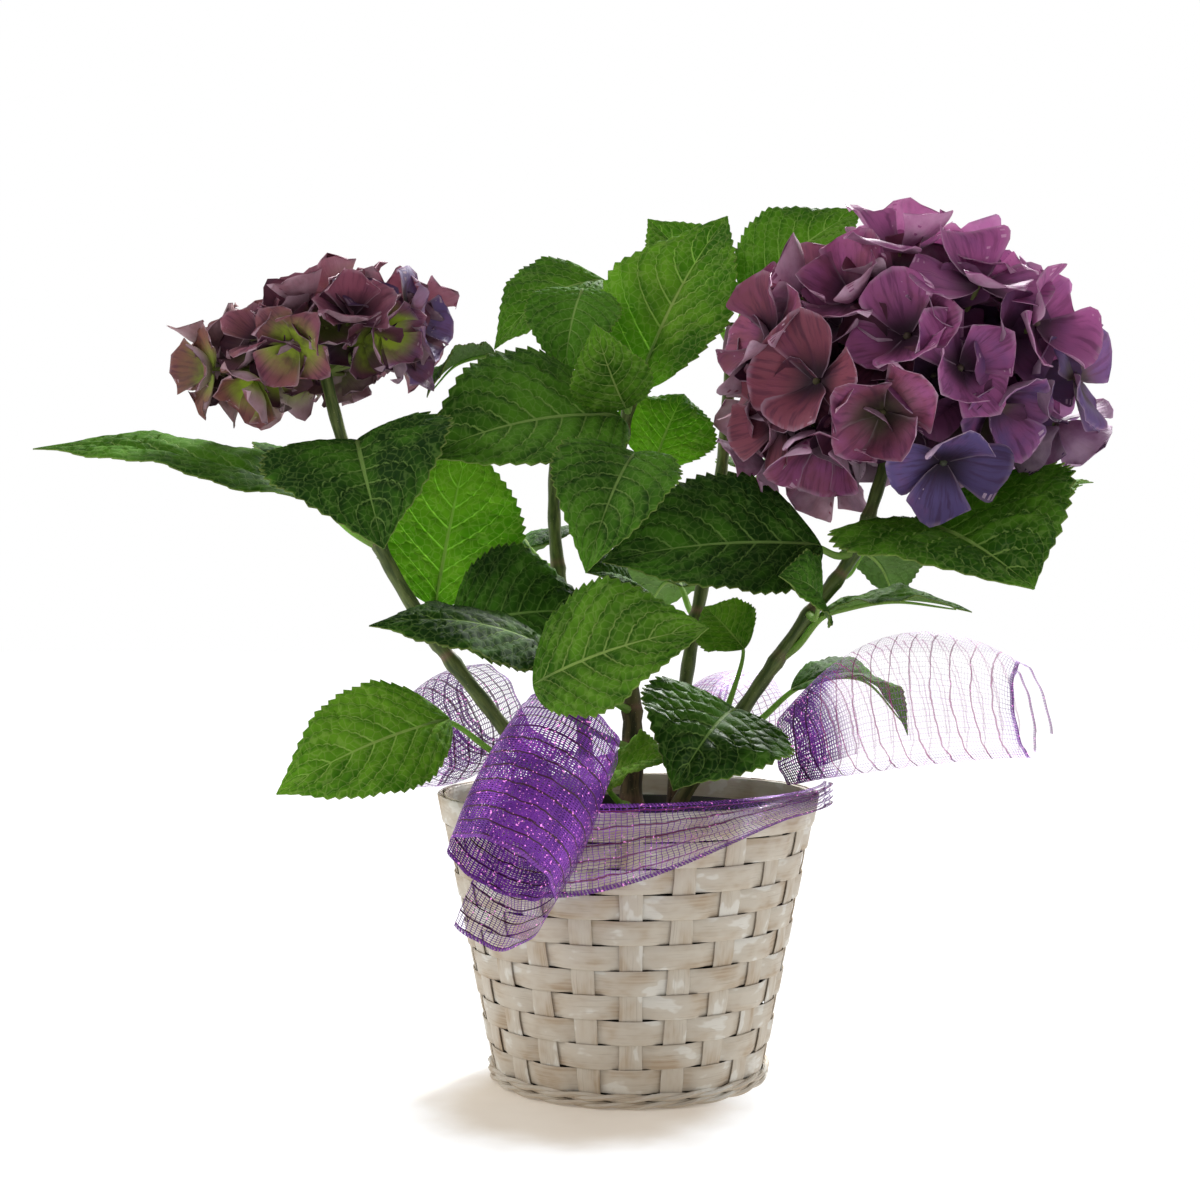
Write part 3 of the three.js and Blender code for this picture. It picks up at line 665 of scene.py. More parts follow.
def add_chip(shape):
    """A bent box, thinner towards both ends, that lies on the soil at a drawn place, heading and tilt."""
    far = soil_wide * 0.95 * np.sqrt(draw.uniform())
    turn, heading, tilt = draw.uniform(0, 2 * np.pi, 3)
    size = draw.uniform(1.2, 4.2) * MM
    share = np.linspace(-1, 1, 5)[:, None]
    across, out = strip_outline(size * draw.uniform(0.35, 0.7), size * 0.25)
    taper = 1 - 0.5 * share**2
    ahead, beside = share * size, across * taper
    above = out * taper + 0.15 * size * share * np.sin(tilt)
    cos, sin = np.cos(heading), np.sin(heading)
    x, y = far * np.cos(turn), far * np.sin(turn)
    z = ground(x, y) + above + 0.3 * MM
    grid = np.stack([x + ahead * cos - beside * sin, y + ahead * sin + beside * cos, z], -1)
    shape.skin(grid, share[:, 0], np.append(across, 0), {"chip": draw.uniform(0.4, 1)})


for _ in range(CHIPS):
    add_chip(soil)
soil.piece("potting_soil", damp_soil, "soil", "soil", crease=40)

# %% [markdown]
# ## Canes
# Hydrangea canes are olive green with small raised pores, brown and barky low down, and swell at each
# joint where a pair of leaves stands. The rod's radius is its taper plus a bell curve at each joint.
# Marks tell the finish how barky a point is and how near it is to a joint.

# %% Canes
CANE_RADIUS = 3.4 * MM
CANE_TAPER = 0.25
CANES = {
    "cane_left": [
        (-20, 2, 80), (-24, 1, 105), (-56, -5, 150), (-83, -10, 186),
        (-103, -14, 221), (-119, -16, 268), (-125, -16, 292),
    ],
    "cane_right": [
        (14, 4, 80), (18, 2, 105), (45, -4, 148), (72, -10, 188),
        (92, -13, 216), (103, -14, 245), (110, -14, 274),
    ],
    "cane_middle": [(0, 14, 80), (2, 14, 150), (-3, 12, 210), (-4, 10, 254), (1, 8, 284)],
    "cane_back_left": [(-14, 30, 80), (-20, 36, 150), (-32, 44, 230), (-27, 45, 320)],
    "cane_back_right": [(18, 32, 80), (26, 42, 160), (42, 52, 250), (48, 50, 322)],
}
# Each leaf, in millimetres: its cane, the height of its joint there, its blade's base and tip, the blade's
# width, the way its face looks, how far it arches, and how many degrees its halves fold up.
LEAVES = {
    "far_left": ("cane_left", 220, (-124, -20, 238), (-241, -28, 259), 56, (0, -0.32, 0.95), 8, 4),
    "under_left_head": ("cane_left", 250, (-109, -36, 262), (-92, -88, 217), 78, (-0.15, -0.6, 0.78), 8, 18),
    "left_back": ("cane_left", 244, (-122, 12, 250), (-156, 78, 256), 58, (0, -0.1, 1), 8, 12),
    "bright_left": ("cane_left", 172, (-82, 12, 195), (-69, 34, 268), 68, (0, -0.92, 0.4), 5, 12),
    "left_inner": ("cane_left", 180, (-73, -14, 186), (-12, -2, 192), 66, (0, -0.8, 0.6), 6, 12),
    "low_bright": ("cane_left", 126, (-71, -45, 151), (-135, -70, 124), 54, (-0.2, -0.85, 0.5), 6, 6),
    "mid_left": ("cane_middle", 268, (-3, -8, 274), (-84, -50, 253), 78, (0, -0.75, 0.66), 8, 12),
    "low_left": ("cane_middle", 150, (-28, -34, 176), (-101, -60, 188), 50, (0.05, -0.42, 0.9), 8, -8),
    "front_centre": ("cane_middle", 134, (-37, -78, 166), (28, -98, 188), 62, (-0.2, -0.75, 0.6), 5, 12),
    "inside": ("cane_middle", 110, (-10, -30, 125), (16, -50, 136), 34, (0, -0.6, 0.8), 3, 12),
    "centre_folded": ("cane_middle", 246, (2, -48, 256), (-17, -90, 208), 54, (0, -0.75, 0.66), 8, 24),
    "centre_small": ("cane_middle", 204, (3, -4, 203), (-17, -28, 209), 32, (0, -0.7, 0.7), 3, 12),
    "behind_bright": ("cane_middle", 240, (11, 18, 255), (25, 31, 288), 46, (0, -0.9, 0.4), 5, 12),
    "upper_centre": ("cane_middle", 280, (4, 14, 288), (44, 32, 366), 68, (-0.5, -0.8, 0.1), 6, 12),
    "young": ("cane_middle", 283, (-1, -14, 277), (-14, -32, 309), 36, (-0.3, -0.85, 0.3), 4, 20),
    "front_right": ("cane_right", 144, (43, -30, 154), (16, -74, 126), 64, (0.1, -0.72, 0.69), 9, 6),
    "small_light": ("cane_right", 132, (50, 16, 177), (34, 34, 195), 30, (-0.2, -0.8, 0.5), 3, 12),
    "small_dark": ("cane_right", 192, (73, -61, 195), (55, -83, 207), 34, (0.3, -0.75, 0.55), 5, 12),
    "right_narrow": ("cane_right", 172, (78, -14, 191), (139, -26, 193), 36, (0, -0.14, 0.99), 6, 10),
    "under_right_head": ("cane_right", 232, (117, -12, 231), (148, -92, 202), 106, (-0.12, -0.6, 0.8), 5, 16),
    "centre_right": ("cane_right", 218, (78, -25, 220), (-11, -44, 213), 74, (0, -0.7, 0.7), 5, 12),
    "right_back": ("cane_right", 206, (101, 16, 219), (120, 46, 197), 38, (0.3, 0.4, 0.85), 5, 12),
    "low_right_back": ("cane_right", 138, (71, 24, 159), (125, 44, 138), 44, (0, -0.2, 0.97), 16, 12),
    "right_far": ("cane_right", 222, (166, 62, 227), (219, 86, 253), 50, (0, -0.1, 1), 6, 12),
    "upper_left": ("cane_back_left", 318, (-9, 62, 343), (-59, 48, 310), 46, (-0.3, -0.75, 0.6), 10, 12),
    "upper_left_front": ("cane_back_left", 314, (-19, 18, 332), (-27, 0, 290), 42, (-0.1, -0.9, 0.35), 8, 12),
    "edge_left": ("cane_back_left", 290, (-58, 38, 306), (-87, 26, 286), 40, (-0.5, -0.1, 0.86), 6, 12),
    "back_left": ("cane_back_left", 212, (-44, 64, 222), (-60, 138, 212), 70, (0, 0.25, 0.97), 10, 12),
    "upper_right": ("cane_back_right", 316, (54, 58, 334), (108, 70, 377), 54, (-0.3, -0.8, 0.5), 5, 12),
    "top_back": ("cane_back_right", 312, (40, 54, 330), (10, 66, 372), 44, (0.2, -0.85, 0.5), 4, 12),
    "back_centre": ("cane_back_right", 190, (26, 68, 204), (10, 142, 188), 74, (0, 0.3, 0.95), 10, 12),
    "back_right": ("cane_back_right", 240, (62, 78, 256), (96, 146, 250), 66, (0, 0.1, 1), 9, 12),
}
cane_paths = {name: curve_through(points, 96) * MM for name, points in CANES.items()}


def on_cane(name, height):
    """The point on a cane's middle line at a height."""
    path = cane_paths[name]
    return np.array([np.interp(height, path[:, 2], path[:, axis]) for axis in range(3)])


def cane_paint(start):
    """A paint for rods: green or barky streaks, pale pores, and a rosy ring above each joint."""
    across, along = split(start.uv())
    place = start.node("CombineXYZ", {}, {"X": across * 420, "Y": along * 60})
    streaks = start.noise(place, 1.0, 3.0, 0.6)
    object_place = start.place()
    pores = start.node("TexVoronoi", {}, {"Vector": object_place, "Scale": 520.0})
    pore = pores.rise(0.16, 0.05)
    bark, joint = start.mark("bark"), start.mark("joint")
    green = streaks.rise(0.3, 0.7).mix(colour(54, 72, 26), colour(108, 122, 62))
    woody = streaks.rise(0.35, 0.65).mix(colour(44, 30, 24), colour(104, 80, 60))
    stem = bark.mix(green, woody)
    pink = (joint * 0.5).mix(stem, colour(150, 104, 96))
    return {
        "Base Color": (pore * 0.5).mix(pink, colour(168, 156, 118)),
        "Roughness": bark.rise(0.0, 1.0, 0.5, 0.85),
        "Specular IOR Level": 0.35,
        "Normal": start.bump(streaks + pore * 0.5, 0.35 * MM, 0.7),
    }


cane_skin = finish("cane_skin", cane_paint)


def bells(height, joints, reach):
    """The sum of exp(-((height - joint) / reach)^2) over the joints."""
    return sum(np.exp(-(((height - joint) / reach) ** 2)) for joint in joints)


def add_cane(name, path):
    """radius = taper * (1 + 0.26 * bells + a small ripple). The oldest cane is thicker low down."""
    share = np.linspace(0, 1, len(path))[:, None]
    joints = [leaf[1] * MM for leaf in LEAVES.values() if leaf[0] == name]
    height = path[:, 2:]
    bell = np.minimum(bells(height, joints, 2.4 * MM), 1)
    ring = bells(height - 3 * MM, joints, 0.9 * MM)
    radius = CANE_RADIUS * (1 - CANE_TAPER * share) * (1 + 0.26 * bell + 0.05 * np.sin(90 * share))
    oldest = name == "cane_middle"
    if oldest:
        radius = radius * (1 + 0.5 * (1 - smooth(0.2, 0.5, share)))
    bark = (1 - smooth(0.1, 0.75 if oldest else 0.3, share)) * 0.95 + 0.06 * np.sin(60 * share)
    marks = {"bark": np.clip(bark, 0, 1), "joint": np.clip(ring, 0, 1)}
    shape = Shape()
    add_rod(shape, path, radius, 14, marks)
    shape.piece(name.replace("cane", "stem"), cane_skin, "cane", name)


for name, path in cane_paths.items():
    add_cane(name, path)

# %% [markdown]
# ## Leaves
# A hydrangea leaf is a broad oval drawn out to a point, with a saw edge. Six to eight veins leave the
# midrib on each side and curve forwards. The blade is sunk along them and swells between them, which
# gives it its quilted look.
#
# The blade is a closed skin: each row's outline goes over the upper face and back under the lower one.
# Both the swell of the blade and the painted veins come from one phase, which counts veins: it grows along
# the leaf and falls towards the edge, so that lines of equal phase curve as the veins do. The same phase
# gives the painted light and shade of the quilting: darker in the veins, lighter on the swells.

# %% Leaf paint
VEINS = 8
VEIN_SLANT = 0.24
VEIN_CURVE = 0.16


def leaf_paint(start):
    """A paint for blades: UV is (across from -1 to 1, share of the length).

    The mark young goes from the deep green of a full-grown leaf to the yellow green of a fresh one."""
    across, share = split(start.uv())
    place = start.place()
    side = abs(across)
    phase = (share - side * VEIN_SLANT - side * side * VEIN_CURVE) * VEINS
    off_vein = abs(start.math("FRACT", phase) - 0.5)
    vein = (0.066 - side * 0.04 - off_vein).rise(0.0, 0.03)
    midrib = ((1 - share) * 0.028 + 0.012 - side).rise(0.0, 0.012)
    young = start.mark("young")
    ribs = start.math("MAXIMUM", vein * (1 - side * 0.5) * (young * 0.3 + 0.7), midrib)
    cells = start.node("TexVoronoi", {"feature": "DISTANCE_TO_EDGE"}, {"Vector": place, "Scale": 300.0})
    net = cells.rise(0.1, 0.02)
    cloud = start.noise(place, 34.0, 4.0, 0.6)
    fine = start.noise(place, 900.0, 2.0)
    under, tone = start.mark("under"), start.mark("tone")
    # Painted light and shade of the quilting: the green is darker in the sunken veins, and runs from dark
    # just past each vein to light before the next, as if one side of each swell faced the light. cloud varies
    # it at random, and so does tone per leaf, but tone 0 is painted shade.
    painted_swell_light = start.math("FRACT", phase + 0.5)
    painted_quilt_light_and_tone = cloud.rise(0.3, 0.7) * 0.75 + off_vein * 0.5 + painted_swell_light * 0.25 + tone * 0.4 - 0.35
    light = painted_quilt_light_and_tone.rise(0.0, 1.0)
    deep = light.mix(colour(12, 34, 10), colour(66, 116, 30))
    fresh = light.mix(colour(50, 98, 14), colour(124, 172, 46))
    blade = young.mix(deep, fresh)
    rib_tone = young.mix(colour(128, 166, 84), colour(216, 232, 134))
    netted = (net * 0.2).mix(blade, rib_tone)
    ribbed = (ribs * 0.85).mix(netted, rib_tone)
    pale = (under * 0.6).mix(ribbed, colour(112, 138, 84))
    edged = side.rise(0.975, 1.0, 0.0, 0.35).mix(pale, colour(150, 160, 84))
    height = fine * 0.08 - ribs * 0.9 - net * 0.14 + cloud * 0.16
    return {
        "Base Color": edged,
        "Roughness": cloud.rise(0.3, 0.7, 0.7, 0.85) - start.mark("gloss") * 0.3,
        "Specular IOR Level": 0.1,
        "clearer": ribs * young * 0.3,
        "Normal": start.bump(height, 0.8 * MM, 0.7),
    }


leaf_green = finish("leaf_green", leaf_paint, ("young", 0.12, 0.32, (0.36, 0.70, 0.07, 1.0)))

# %% Leaf blades
LEAF_THICKNESS = 0.5 * MM
TEETH = 20
ROWS_PER_TOOTH = 5
EDGE_WAVE = 1.5 * MM
STALK_RADIUS = 1.5 * MM
STALK_SAG = 3 * MM
# The stalk's thickness at places along it, from the swollen foot to the end of the midrib.
STALK_PLACES = [0, 0.08, 0.3, 0.6, 1]
STALK_SHARES = [1.5, 1.05, 0.9, 0.55, 0.2]
LEAF_COLUMNS = np.array([0.03, 0.09, 0.18, 0.29, 0.41, 0.54, 0.67, 0.79, 0.89, 0.96, 1.0])
# How far each leaf is still fresh, from 0 to 1. The rest are full grown.
YOUNG = {
    "bright_left": 1.0, "inside": 1.0, "behind_bright": 0.95, "low_bright": 0.8, "small_light": 0.75,
    "upper_centre": 0.7, "top_back": 0.6, "young": 0.5, "front_centre": 0.45, "upper_right": 0.45,
    "right_narrow": 0.35, "under_right_head": 0.3, "back_right": 0.3, "right_far": 0.3, "upper_left": 0.3,
    "far_left": 0.2, "back_centre": 0.2, "mid_left": 0.2, "centre_folded": 0.15,
}
# Leaves that stand in the shade of others, whose green is painted darker as painted shade, and leaves that
# shine.
PAINTED_SHADE_LEAVES = ["under_left_head", "centre_right", "low_left", "left_inner", "edge_left", "small_dark"]
GLOSSY = ["front_right", "under_right_head"]


def blade_outline(share):
    """Half width: sin(pi * share^0.78)^0.85 * (1 - 0.4 share^5), an oval drawn out to a point."""
    return np.sin(np.pi * np.clip(share, 0, 1) ** 0.78) ** 0.85 * (1 - 0.4 * share**5)


class Blade:
    """One leaf's surface, a function of share from base to tip and across from -1 to 1."""

    def __init__(self, base, tip, width, face, arch, fold):
        self.base = np.array(base) * MM
        self.chord = np.array(tip) * MM - self.base
        self.width, self.arch = width * MM, arch * MM
        self.fold = np.radians(fold)
        ahead = unit(self.chord)
        self.side = unit(np.cross(face, ahead))
        self.up = np.cross(ahead, self.side)

    def at(self, share, across):
        """base + chord * share + side * across * half width + up * (arch + fold + edge waves + quilting)."""
        edge = abs(across)
        saw = (share * TEETH) % 1 - 0.45
        tooth = 0.036 * saw * edge**6 * smooth(0.03, 0.2, share) * np.minimum(1, 2 * blade_outline(share))
        half = self.width / 2 * np.maximum(blade_outline(share), 0.012) + self.width * tooth
        soft_fold = np.sqrt(across**2 + 0.004) - np.sqrt(0.004)
        phase = (share - VEIN_SLANT * edge - VEIN_CURVE * edge**2) * VEINS
        swell = abs(np.sin(np.pi * (phase - 0.5))) ** 0.6 * smooth(0.0, 0.22, edge) * (1 - edge**5)
        wave = np.sin(4 * np.pi * share + np.sign(across)) + 0.35 * np.sin(11 * np.pi * share + 2 * across)
        lift = (
            4 * self.arch * share * (1 - share)
            + soft_fold * half * np.sin(self.fold)
            + EDGE_WAVE * across**2 * wave * np.minimum(1, 1.4 * blade_outline(share))
            + 0.042 * self.width * swell * np.minimum(1, 1.5 * blade_outline(share))
        )
        return (
            self.base
            + self.chord * share[..., None]
            + self.side * (across * half * np.cos(self.fold))[..., None]
            + self.up * lift[..., None]
        )


def add_leaf(name, cane, height, base, tip, width, face, arch, fold):
    """The blade's closed skin, and a stalk that runs on under the midrib and gets thinner to the tip."""
    blade = Blade(base, tip, width, face, arch, fold)
    rows = TEETH * ROWS_PER_TOOTH
    share = np.concatenate([[0.0], (np.arange(rows) + 0.5) / rows, [1.0]])
    across = np.concatenate([-LEAF_COLUMNS[::-1], [0], LEAF_COLUMNS])
    s, c = np.meshgrid(share, across, indexing="ij")
    middle = blade.at(s, c)
    half_thick = LEAF_THICKNESS / 2 * blade.up
    grid = np.concatenate([middle + half_thick, middle[:, ::-1] - half_thick], 1)
    around = np.concatenate([across, across[::-1], across[:1]])
    marks = {
        # tone 0 paints a leaf in the shade of others darker: painted shade. Other leaves get a random tone.
        "tone": 0.0 if name in PAINTED_SHADE_LEAVES else draw.uniform(0.2, 1),
        "young": YOUNG.get(name, draw.uniform(0, 0.15)),
        "gloss": float(name in GLOSSY),
    }
    under = np.repeat([0.0, 1.0], len(across))
    shape = Shape()
    shape.skin(grid, share, around, {"under": under, **marks})
    root = on_cane(cane, height * MM)
    bend = (root + blade.base) / 2 - [0, 0, STALK_SAG]
    on_blade = [blade.at(np.array(s), np.array(0.0)) - 0.8 * MM * blade.up for s in (0.03, 0.2, 0.5, 0.9)]
    path = curve_through([root, bend, *on_blade], 44)
    length = np.linspace(0, 1, 45)
    stalk = STALK_RADIUS * np.interp(length, STALK_PLACES, STALK_SHARES)
    shape.skin(rod_grid(path, stalk[:, None], 8), length, np.zeros(9), {**marks, "under": 0.9, "young": 0.6})
    shape.piece(f"blade_{name}", leaf_green, "leaf", f"leaf_{name}")


for name, leaf in LEAVES.items():
    add_leaf(name, *leaf)

# %% [markdown]
# ## Flower heads
# What looks like a petal is a sepal: each floret has four, cupped and overlapping, round a tiny closed
# bud, on a stalk that runs down into the head. The florets are set round an oval by the golden angle,
# which spaces them evenly without rows. This is the CAD head's own rule with the same seeded draws, so
# each floret stands where the solid has it. Two deeper layers, smaller and with painted shade that makes
# them darker, fill the gaps.
#
# A sepal has about forty faces a side. Its middle line is bent like a spoon's: the slope grows from the
# claw and lies back at the tip. Its edges curl in, wave, and lean so that one lies over its neighbour's.

# %% Sepal paint
def sepal_paint(rusty, warm, cool, pale, greenish):
    """A paint for florets: UV is (across from -1 to 1, share of the sepal's length).

    The mark tint goes from the rusty tone over the warm one to the cool one."""

    def paint(start):
        across, out = split(start.uv())
        back, tint, lime = start.mark("back"), start.mark("tint"), start.mark("lime")
        stalk, shade = start.mark("stalk"), start.mark("shade")
        place = start.place()
        fan_place = start.node("CombineXYZ", {}, {"X": across * 7.0, "Y": out * 1.6, "Z": shade * 31.0})
        fan = start.noise(fan_place, 1.0, 3.0, 0.6)
        cloud = start.noise(place, 80.0, 4.0, 0.6)
        margin = start.math("MAXIMUM", abs(across).rise(0.82, 1.0), out.rise(0.9, 1.0))
        hue = tint + cloud * 0.8 - 0.4
        face = hue.rise(0.5, 1.0).mix(hue.rise(0.0, 0.5).mix(rusty, warm), cool)
        # Painted shade: the mark shade darkens the florets of the deeper layers, which lie under the others,
        # and each sepal adds a random darker tone of its own.
        tone_and_painted_shade = (shade * 0.75).mix(face, colour(38, 18, 36))
        # Painted shade in the floret's middle, where the sepals meet: near black towards the claw.
        painted_throat_shade = (out.rise(0.6, 0.1) * 0.95).mix(tone_and_painted_shade, colour(20, 8, 20))
        veined = (fan.rise(0.46, 0.66) * 0.5).mix(painted_throat_shade, colour(56, 24, 50))
        rimmed = (margin * (1 - shade) * fan.rise(0.35, 0.6) * 0.35).mix(veined, pale)
        backed = (back * cloud.rise(0.3, 0.7, 0.25, 0.7)).mix(rimmed, pale)
        inner = out.rise(0.85, 0.2)
        limed = (lime * inner * cloud.rise(0.35, 0.6, 0.2, 1.2)).mix(backed, greenish)
        return {
            "Base Color": stalk.mix(limed, colour(116, 132, 66)),
            "Roughness": cloud.rise(0.3, 0.7, 0.6, 0.8),
            "Specular IOR Level": 0.3,
            "Normal": start.bump(fan + cloud * 0.5, 0.6 * MM, 0.6),
        }

    return paint


mauve_sepals = finish(
    "mauve_sepals",
    sepal_paint(
        rusty=colour(146, 76, 92),
        warm=colour(172, 94, 150),
        cool=colour(104, 88, 144),
        pale=colour(232, 200, 222),
        greenish=colour(132, 138, 70),
    ),
    ("glow", 0.08, 0.42, (0.86, 0.42, 0.72, 1.0)),
)
dusty_sepals = finish(
    "dusty_sepals",
    sepal_paint(
        rusty=colour(142, 90, 76),
        warm=colour(146, 84, 104),
        cool=colour(100, 84, 140),
        pale=colour(210, 178, 192),
        greenish=colour(158, 182, 52),
    ),
    ("glow", 0.1, 0.34, (0.68, 0.34, 0.42, 1.0)),
)

# %% Florets
GOLDEN_TURN = np.pi * (3 - np.sqrt(5))
SEPAL_THICKNESS = 0.3 * MM
SEPAL_U = np.array([0.04, 0.2, 0.38, 0.55, 0.71, 0.84, 0.93, 1.0])
SEPAL_V = np.array([-1.0, -0.72, -0.36, 0.0, 0.36, 0.72, 1.0])
SEPAL_STEPS = 32
# How high the outer and the inner pair of sepals sit over the middle of the floret.
SEPAL_LIFTS = [0.2 * MM, 0.9 * MM]
# The bud's profile, on a floret of 24 mm radius.
BUD = [(0.2, -0.6), (1.3, 0.2), (1.5, 1.0), (1.0, 1.9), (0.2, 2.3)]
BUD_SCALE = 24


class Draws:
    """Seeded draws by the rule state -> (1664525 state + 1013904223) mod 2^32, as the CAD head uses."""

    def __init__(self, seed):
        self.state = seed

    def __call__(self, low, high):
        self.state = (self.state * 1664525 + 1013904223) % 4294967296
        return low + (high - low) * self.state / 4294967296


def add_sepal(shape, frame_of, radius, turn, bend, lean, phase, point, ragged, marks):
    """Points at (out, aside, high) in the floret's frame.

    The slope along the middle is open + cup * u - back * (rise from 0.6 to 1), and small steps of its
    cosine and sine add up to the line. A point lies aside of the line by half width * v, and off it,
    square to the slope, by spoon * (half width * v)^2 + ragged * waves + lean * v * u. The back lies a
    sepal's thickness off the face."""
    opening, cup, back_turn, spoon = bend
    fine = np.linspace(0, 1, SEPAL_STEPS + 1)
    slope = opening + cup * fine - back_turn * smooth(0.6, 1, fine)
    line_out = (np.cumsum(np.cos(slope)) - np.cos(slope[0])) / SEPAL_STEPS
    line_high = (np.cumsum(np.sin(slope)) - np.sin(slope[0])) / SEPAL_STEPS
    u, v = np.meshgrid(SEPAL_U, SEPAL_V, indexing="ij")
    half = 0.66 * u**0.62 * (1 - 0.3 * u**5)
    at = u - point * u**3 * abs(v) ** 1.5
    rim = u**2 * (0.3 + 0.7 * v**2)
    waves = rim * (0.08 * np.sin(phase + 3.2 * v + 4 * u) + 0.045 * np.sin(2 * phase + 8 * v - 3 * u))
    off = spoon * (v * half) ** 2 + ragged * waves + lean * v * u
    angle = np.interp(at, fine, slope)
    middle, axes = frame_of

    def face(off):
        out = np.interp(at, fine, line_out) - off * np.sin(angle)
        high = np.interp(at, fine, line_high) + off * np.cos(angle)
        across = out * np.cos(turn) - half * v * np.sin(turn)
        ahead = out * np.sin(turn) + half * v * np.cos(turn)
        return middle + np.stack([across, ahead, high], -1) * radius @ axes

    top, bottom = face(off), face(off - SEPAL_THICKNESS / radius)[:, ::-1]
    back = np.repeat([0.0, 1.0], len(SEPAL_V))
    around = np.concatenate([SEPAL_V, SEPAL_V[::-1], SEPAL_V[:1]])
    shape.skin(np.concatenate([top, bottom], 1), SEPAL_U, around, {"back": back, "stalk": 0.0, **marks})


def add_floret(shape, middle, up, spin, radius, cup, root, ragged, marks, chance):
    """Four sepals, the bud between them and the stalk behind them.

    cup goes from 0, open, to 1, closed. The more ragged a floret is, the longer its sepals' points. The
    inner pair stands steeper and curls in more than the outer pair, so that they don't cross."""
    right = unit(np.cross((0.3, 0.8, -0.5), up))
    axes = np.array([right, np.cross(up, right), up])
    outer_opening, floret_bend = chance.uniform(-8, 10), 18 + 62 * cup + chance.uniform(-14, 14)
    for sepal in range(4):
        turn = spin + sepal * np.pi / 2 + chance.uniform(-0.14, 0.14)
        inner = sepal % 2
        opening = np.radians(outer_opening + inner * chance.uniform(10, 20))
        bend = np.radians(floret_bend + 6 * inner + chance.uniform(-8, 8))
        back_turn = np.radians(chance.uniform(5, 60))
        spoon = 0.25 + 0.6 * np.sin(bend) + chance.uniform(0, 0.45) * (1 if inner else -1)
        point = chance.uniform(0.16, 0.34) * ragged
        size = radius * chance.uniform(0.86, 1.1)
        lift = middle + up * SEPAL_LIFTS[inner]
        lean = 0.06 * chance.choice([-1, 1])
        # The layer's painted shade, plus a random darker tone for this sepal.
        own = {**marks, "shade": min(1, marks["shade"] + chance.uniform(0, 0.5))}
        bent = (opening, bend, back_turn, spoon)
        add_sepal(shape, (lift, axes), size, turn, bent, lean, chance.uniform(0, 6), point, ragged, own)
    bud = turned_grid(BUD, 6) * radius / BUD_SCALE
    plain = {**marks, "back": 0.0}
    shape.skin(middle + bud @ axes, np.linspace(0.1, 0.2, 5), np.zeros(7), {**plain, "stalk": 0.25})
    share = np.linspace(0, 1, 5)[:, None]
    bow = 0.18 * np.linalg.norm(middle - root) * (share - share**2)
    path = middle * (1 - share) + root * share + up * bow
    add_rod(shape, path, np.linspace(0.9, 1.3, 5) * MM, 5, {**plain, "stalk": 1.0})


def tilt_matrix(degrees):
    """Turns about Y, so that a head leans to its side."""
    cos, sin = np.cos(np.radians(degrees)), np.sin(np.radians(degrees))
    return np.array([[cos, 0, sin], [0, 1, 0], [-sin, 0, cos]])


# Each layer of a head: its share of the florets, how far out it lies, how large its florets are, its painted
# shade.
LAYERS = [(1.0, 1.0, 1.0, 0), (1.0, 0.83, 0.88, 0.6), (0.6, 0.66, 0.8, 1)]
CUP_LEAST = 0.1
CUP_MOST = 0.34
# Sepals reach a little further than the floret's radius, so that neighbours meet.
SEPAL_REACH = 1.12


def add_head(
    name, node, slot, material, centre, reach, florets, radius, under, lean, seed, ragged, tint_at, lime_at
):
    """Florets at height 1 - (n + 0.5)(1 + under) / florets and turn n * golden angle, times the reach.

    A cupped floret stands higher than a flat one, so its middle is sunk by 0.28 to 0.6 of its radius."""
    draws, chance = Draws(seed), np.random.default_rng(seed)
    centre, reach, radius = np.array(centre) * MM, np.array(reach) * MM, radius * MM
    tilt = tilt_matrix(lean)
    shape = Shape()
    root = centre - tilt @ [0, 0, reach[2] * 0.35]
    for layer, (share, depth, size_share, shade) in enumerate(LAYERS):
        number = int(florets * share)
        for n in range(number):
            high = 1 - (n + 0.5) * (1 + under) / number
            flat = np.sqrt(1 - high * high)
            turn = n * GOLDEN_TURN + layer * 1.3
            way = np.array([flat * np.cos(turn), flat * np.sin(turn), high])
            far = ((0.93 if n % 2 else 1.05) + draws(-0.02, 0.02)) * depth
            nudge = np.array([draws(-0.12, 0.12), draws(-0.12, 0.12), draws(-0.12, 0.12)])
            up = tilt @ unit(unit(way / reach) + nudge * 2)
            spin = draws(0, np.pi)
            size = radius * draws(0.92, 1.08) * size_share
            closed = (draws(CUP_LEAST, CUP_MOST) - CUP_LEAST) / (CUP_MOST - CUP_LEAST)
            middle = tilt @ (way * reach * far) + centre - up * size * (0.28 + 0.32 * closed)
            marks = {
                "tint": float(np.clip(tint_at(way) + chance.uniform(-0.3, 0.3), 0, 1)),
                "lime": float(np.clip(lime_at(way) + chance.uniform(-0.5, 0.5), 0, 1)),
                "glow": float(np.clip(0.25 + 0.45 * way[0] + 0.4 * way[2] + 0.2 * way[1], 0, 1)),
                "shade": shade,
            }
            add_floret(shape, middle, up, spin, size * SEPAL_REACH, closed, root, ragged, marks, chance)
    shape.piece(name, material, slot, node, crease=60)


add_head(
    "florets_right",
    "flower_head_right",
    "mauve_sepals",
    mauve_sepals,
    centre=(113.5, -14.5, 289.3),
    reach=(73, 67, 60),
    florets=38,
    radius=24,
    under=0.76,
    lean=-10,
    seed=7,
    ragged=1.1,
    tint_at=lambda way: 0.5 + 0.5 * way[0] - 0.3 * way[2],
    lime_at=lambda way: -0.35 - 0.35 * way[2],
)
add_head(
    "florets_left",
    "flower_head_left",
    "dusty_sepals",
    dusty_sepals,
    centre=(-127, -16, 301),
    reach=(51, 44, 27),
    florets=22,
    radius=18.5,
    under=0.6,
    lean=-17,
    seed=19,
    ragged=1.7,
    tint_at=lambda way: 0.45 + 0.3 * way[0],
    lime_at=lambda way: 0.3 - 0.5 * way[2],
)

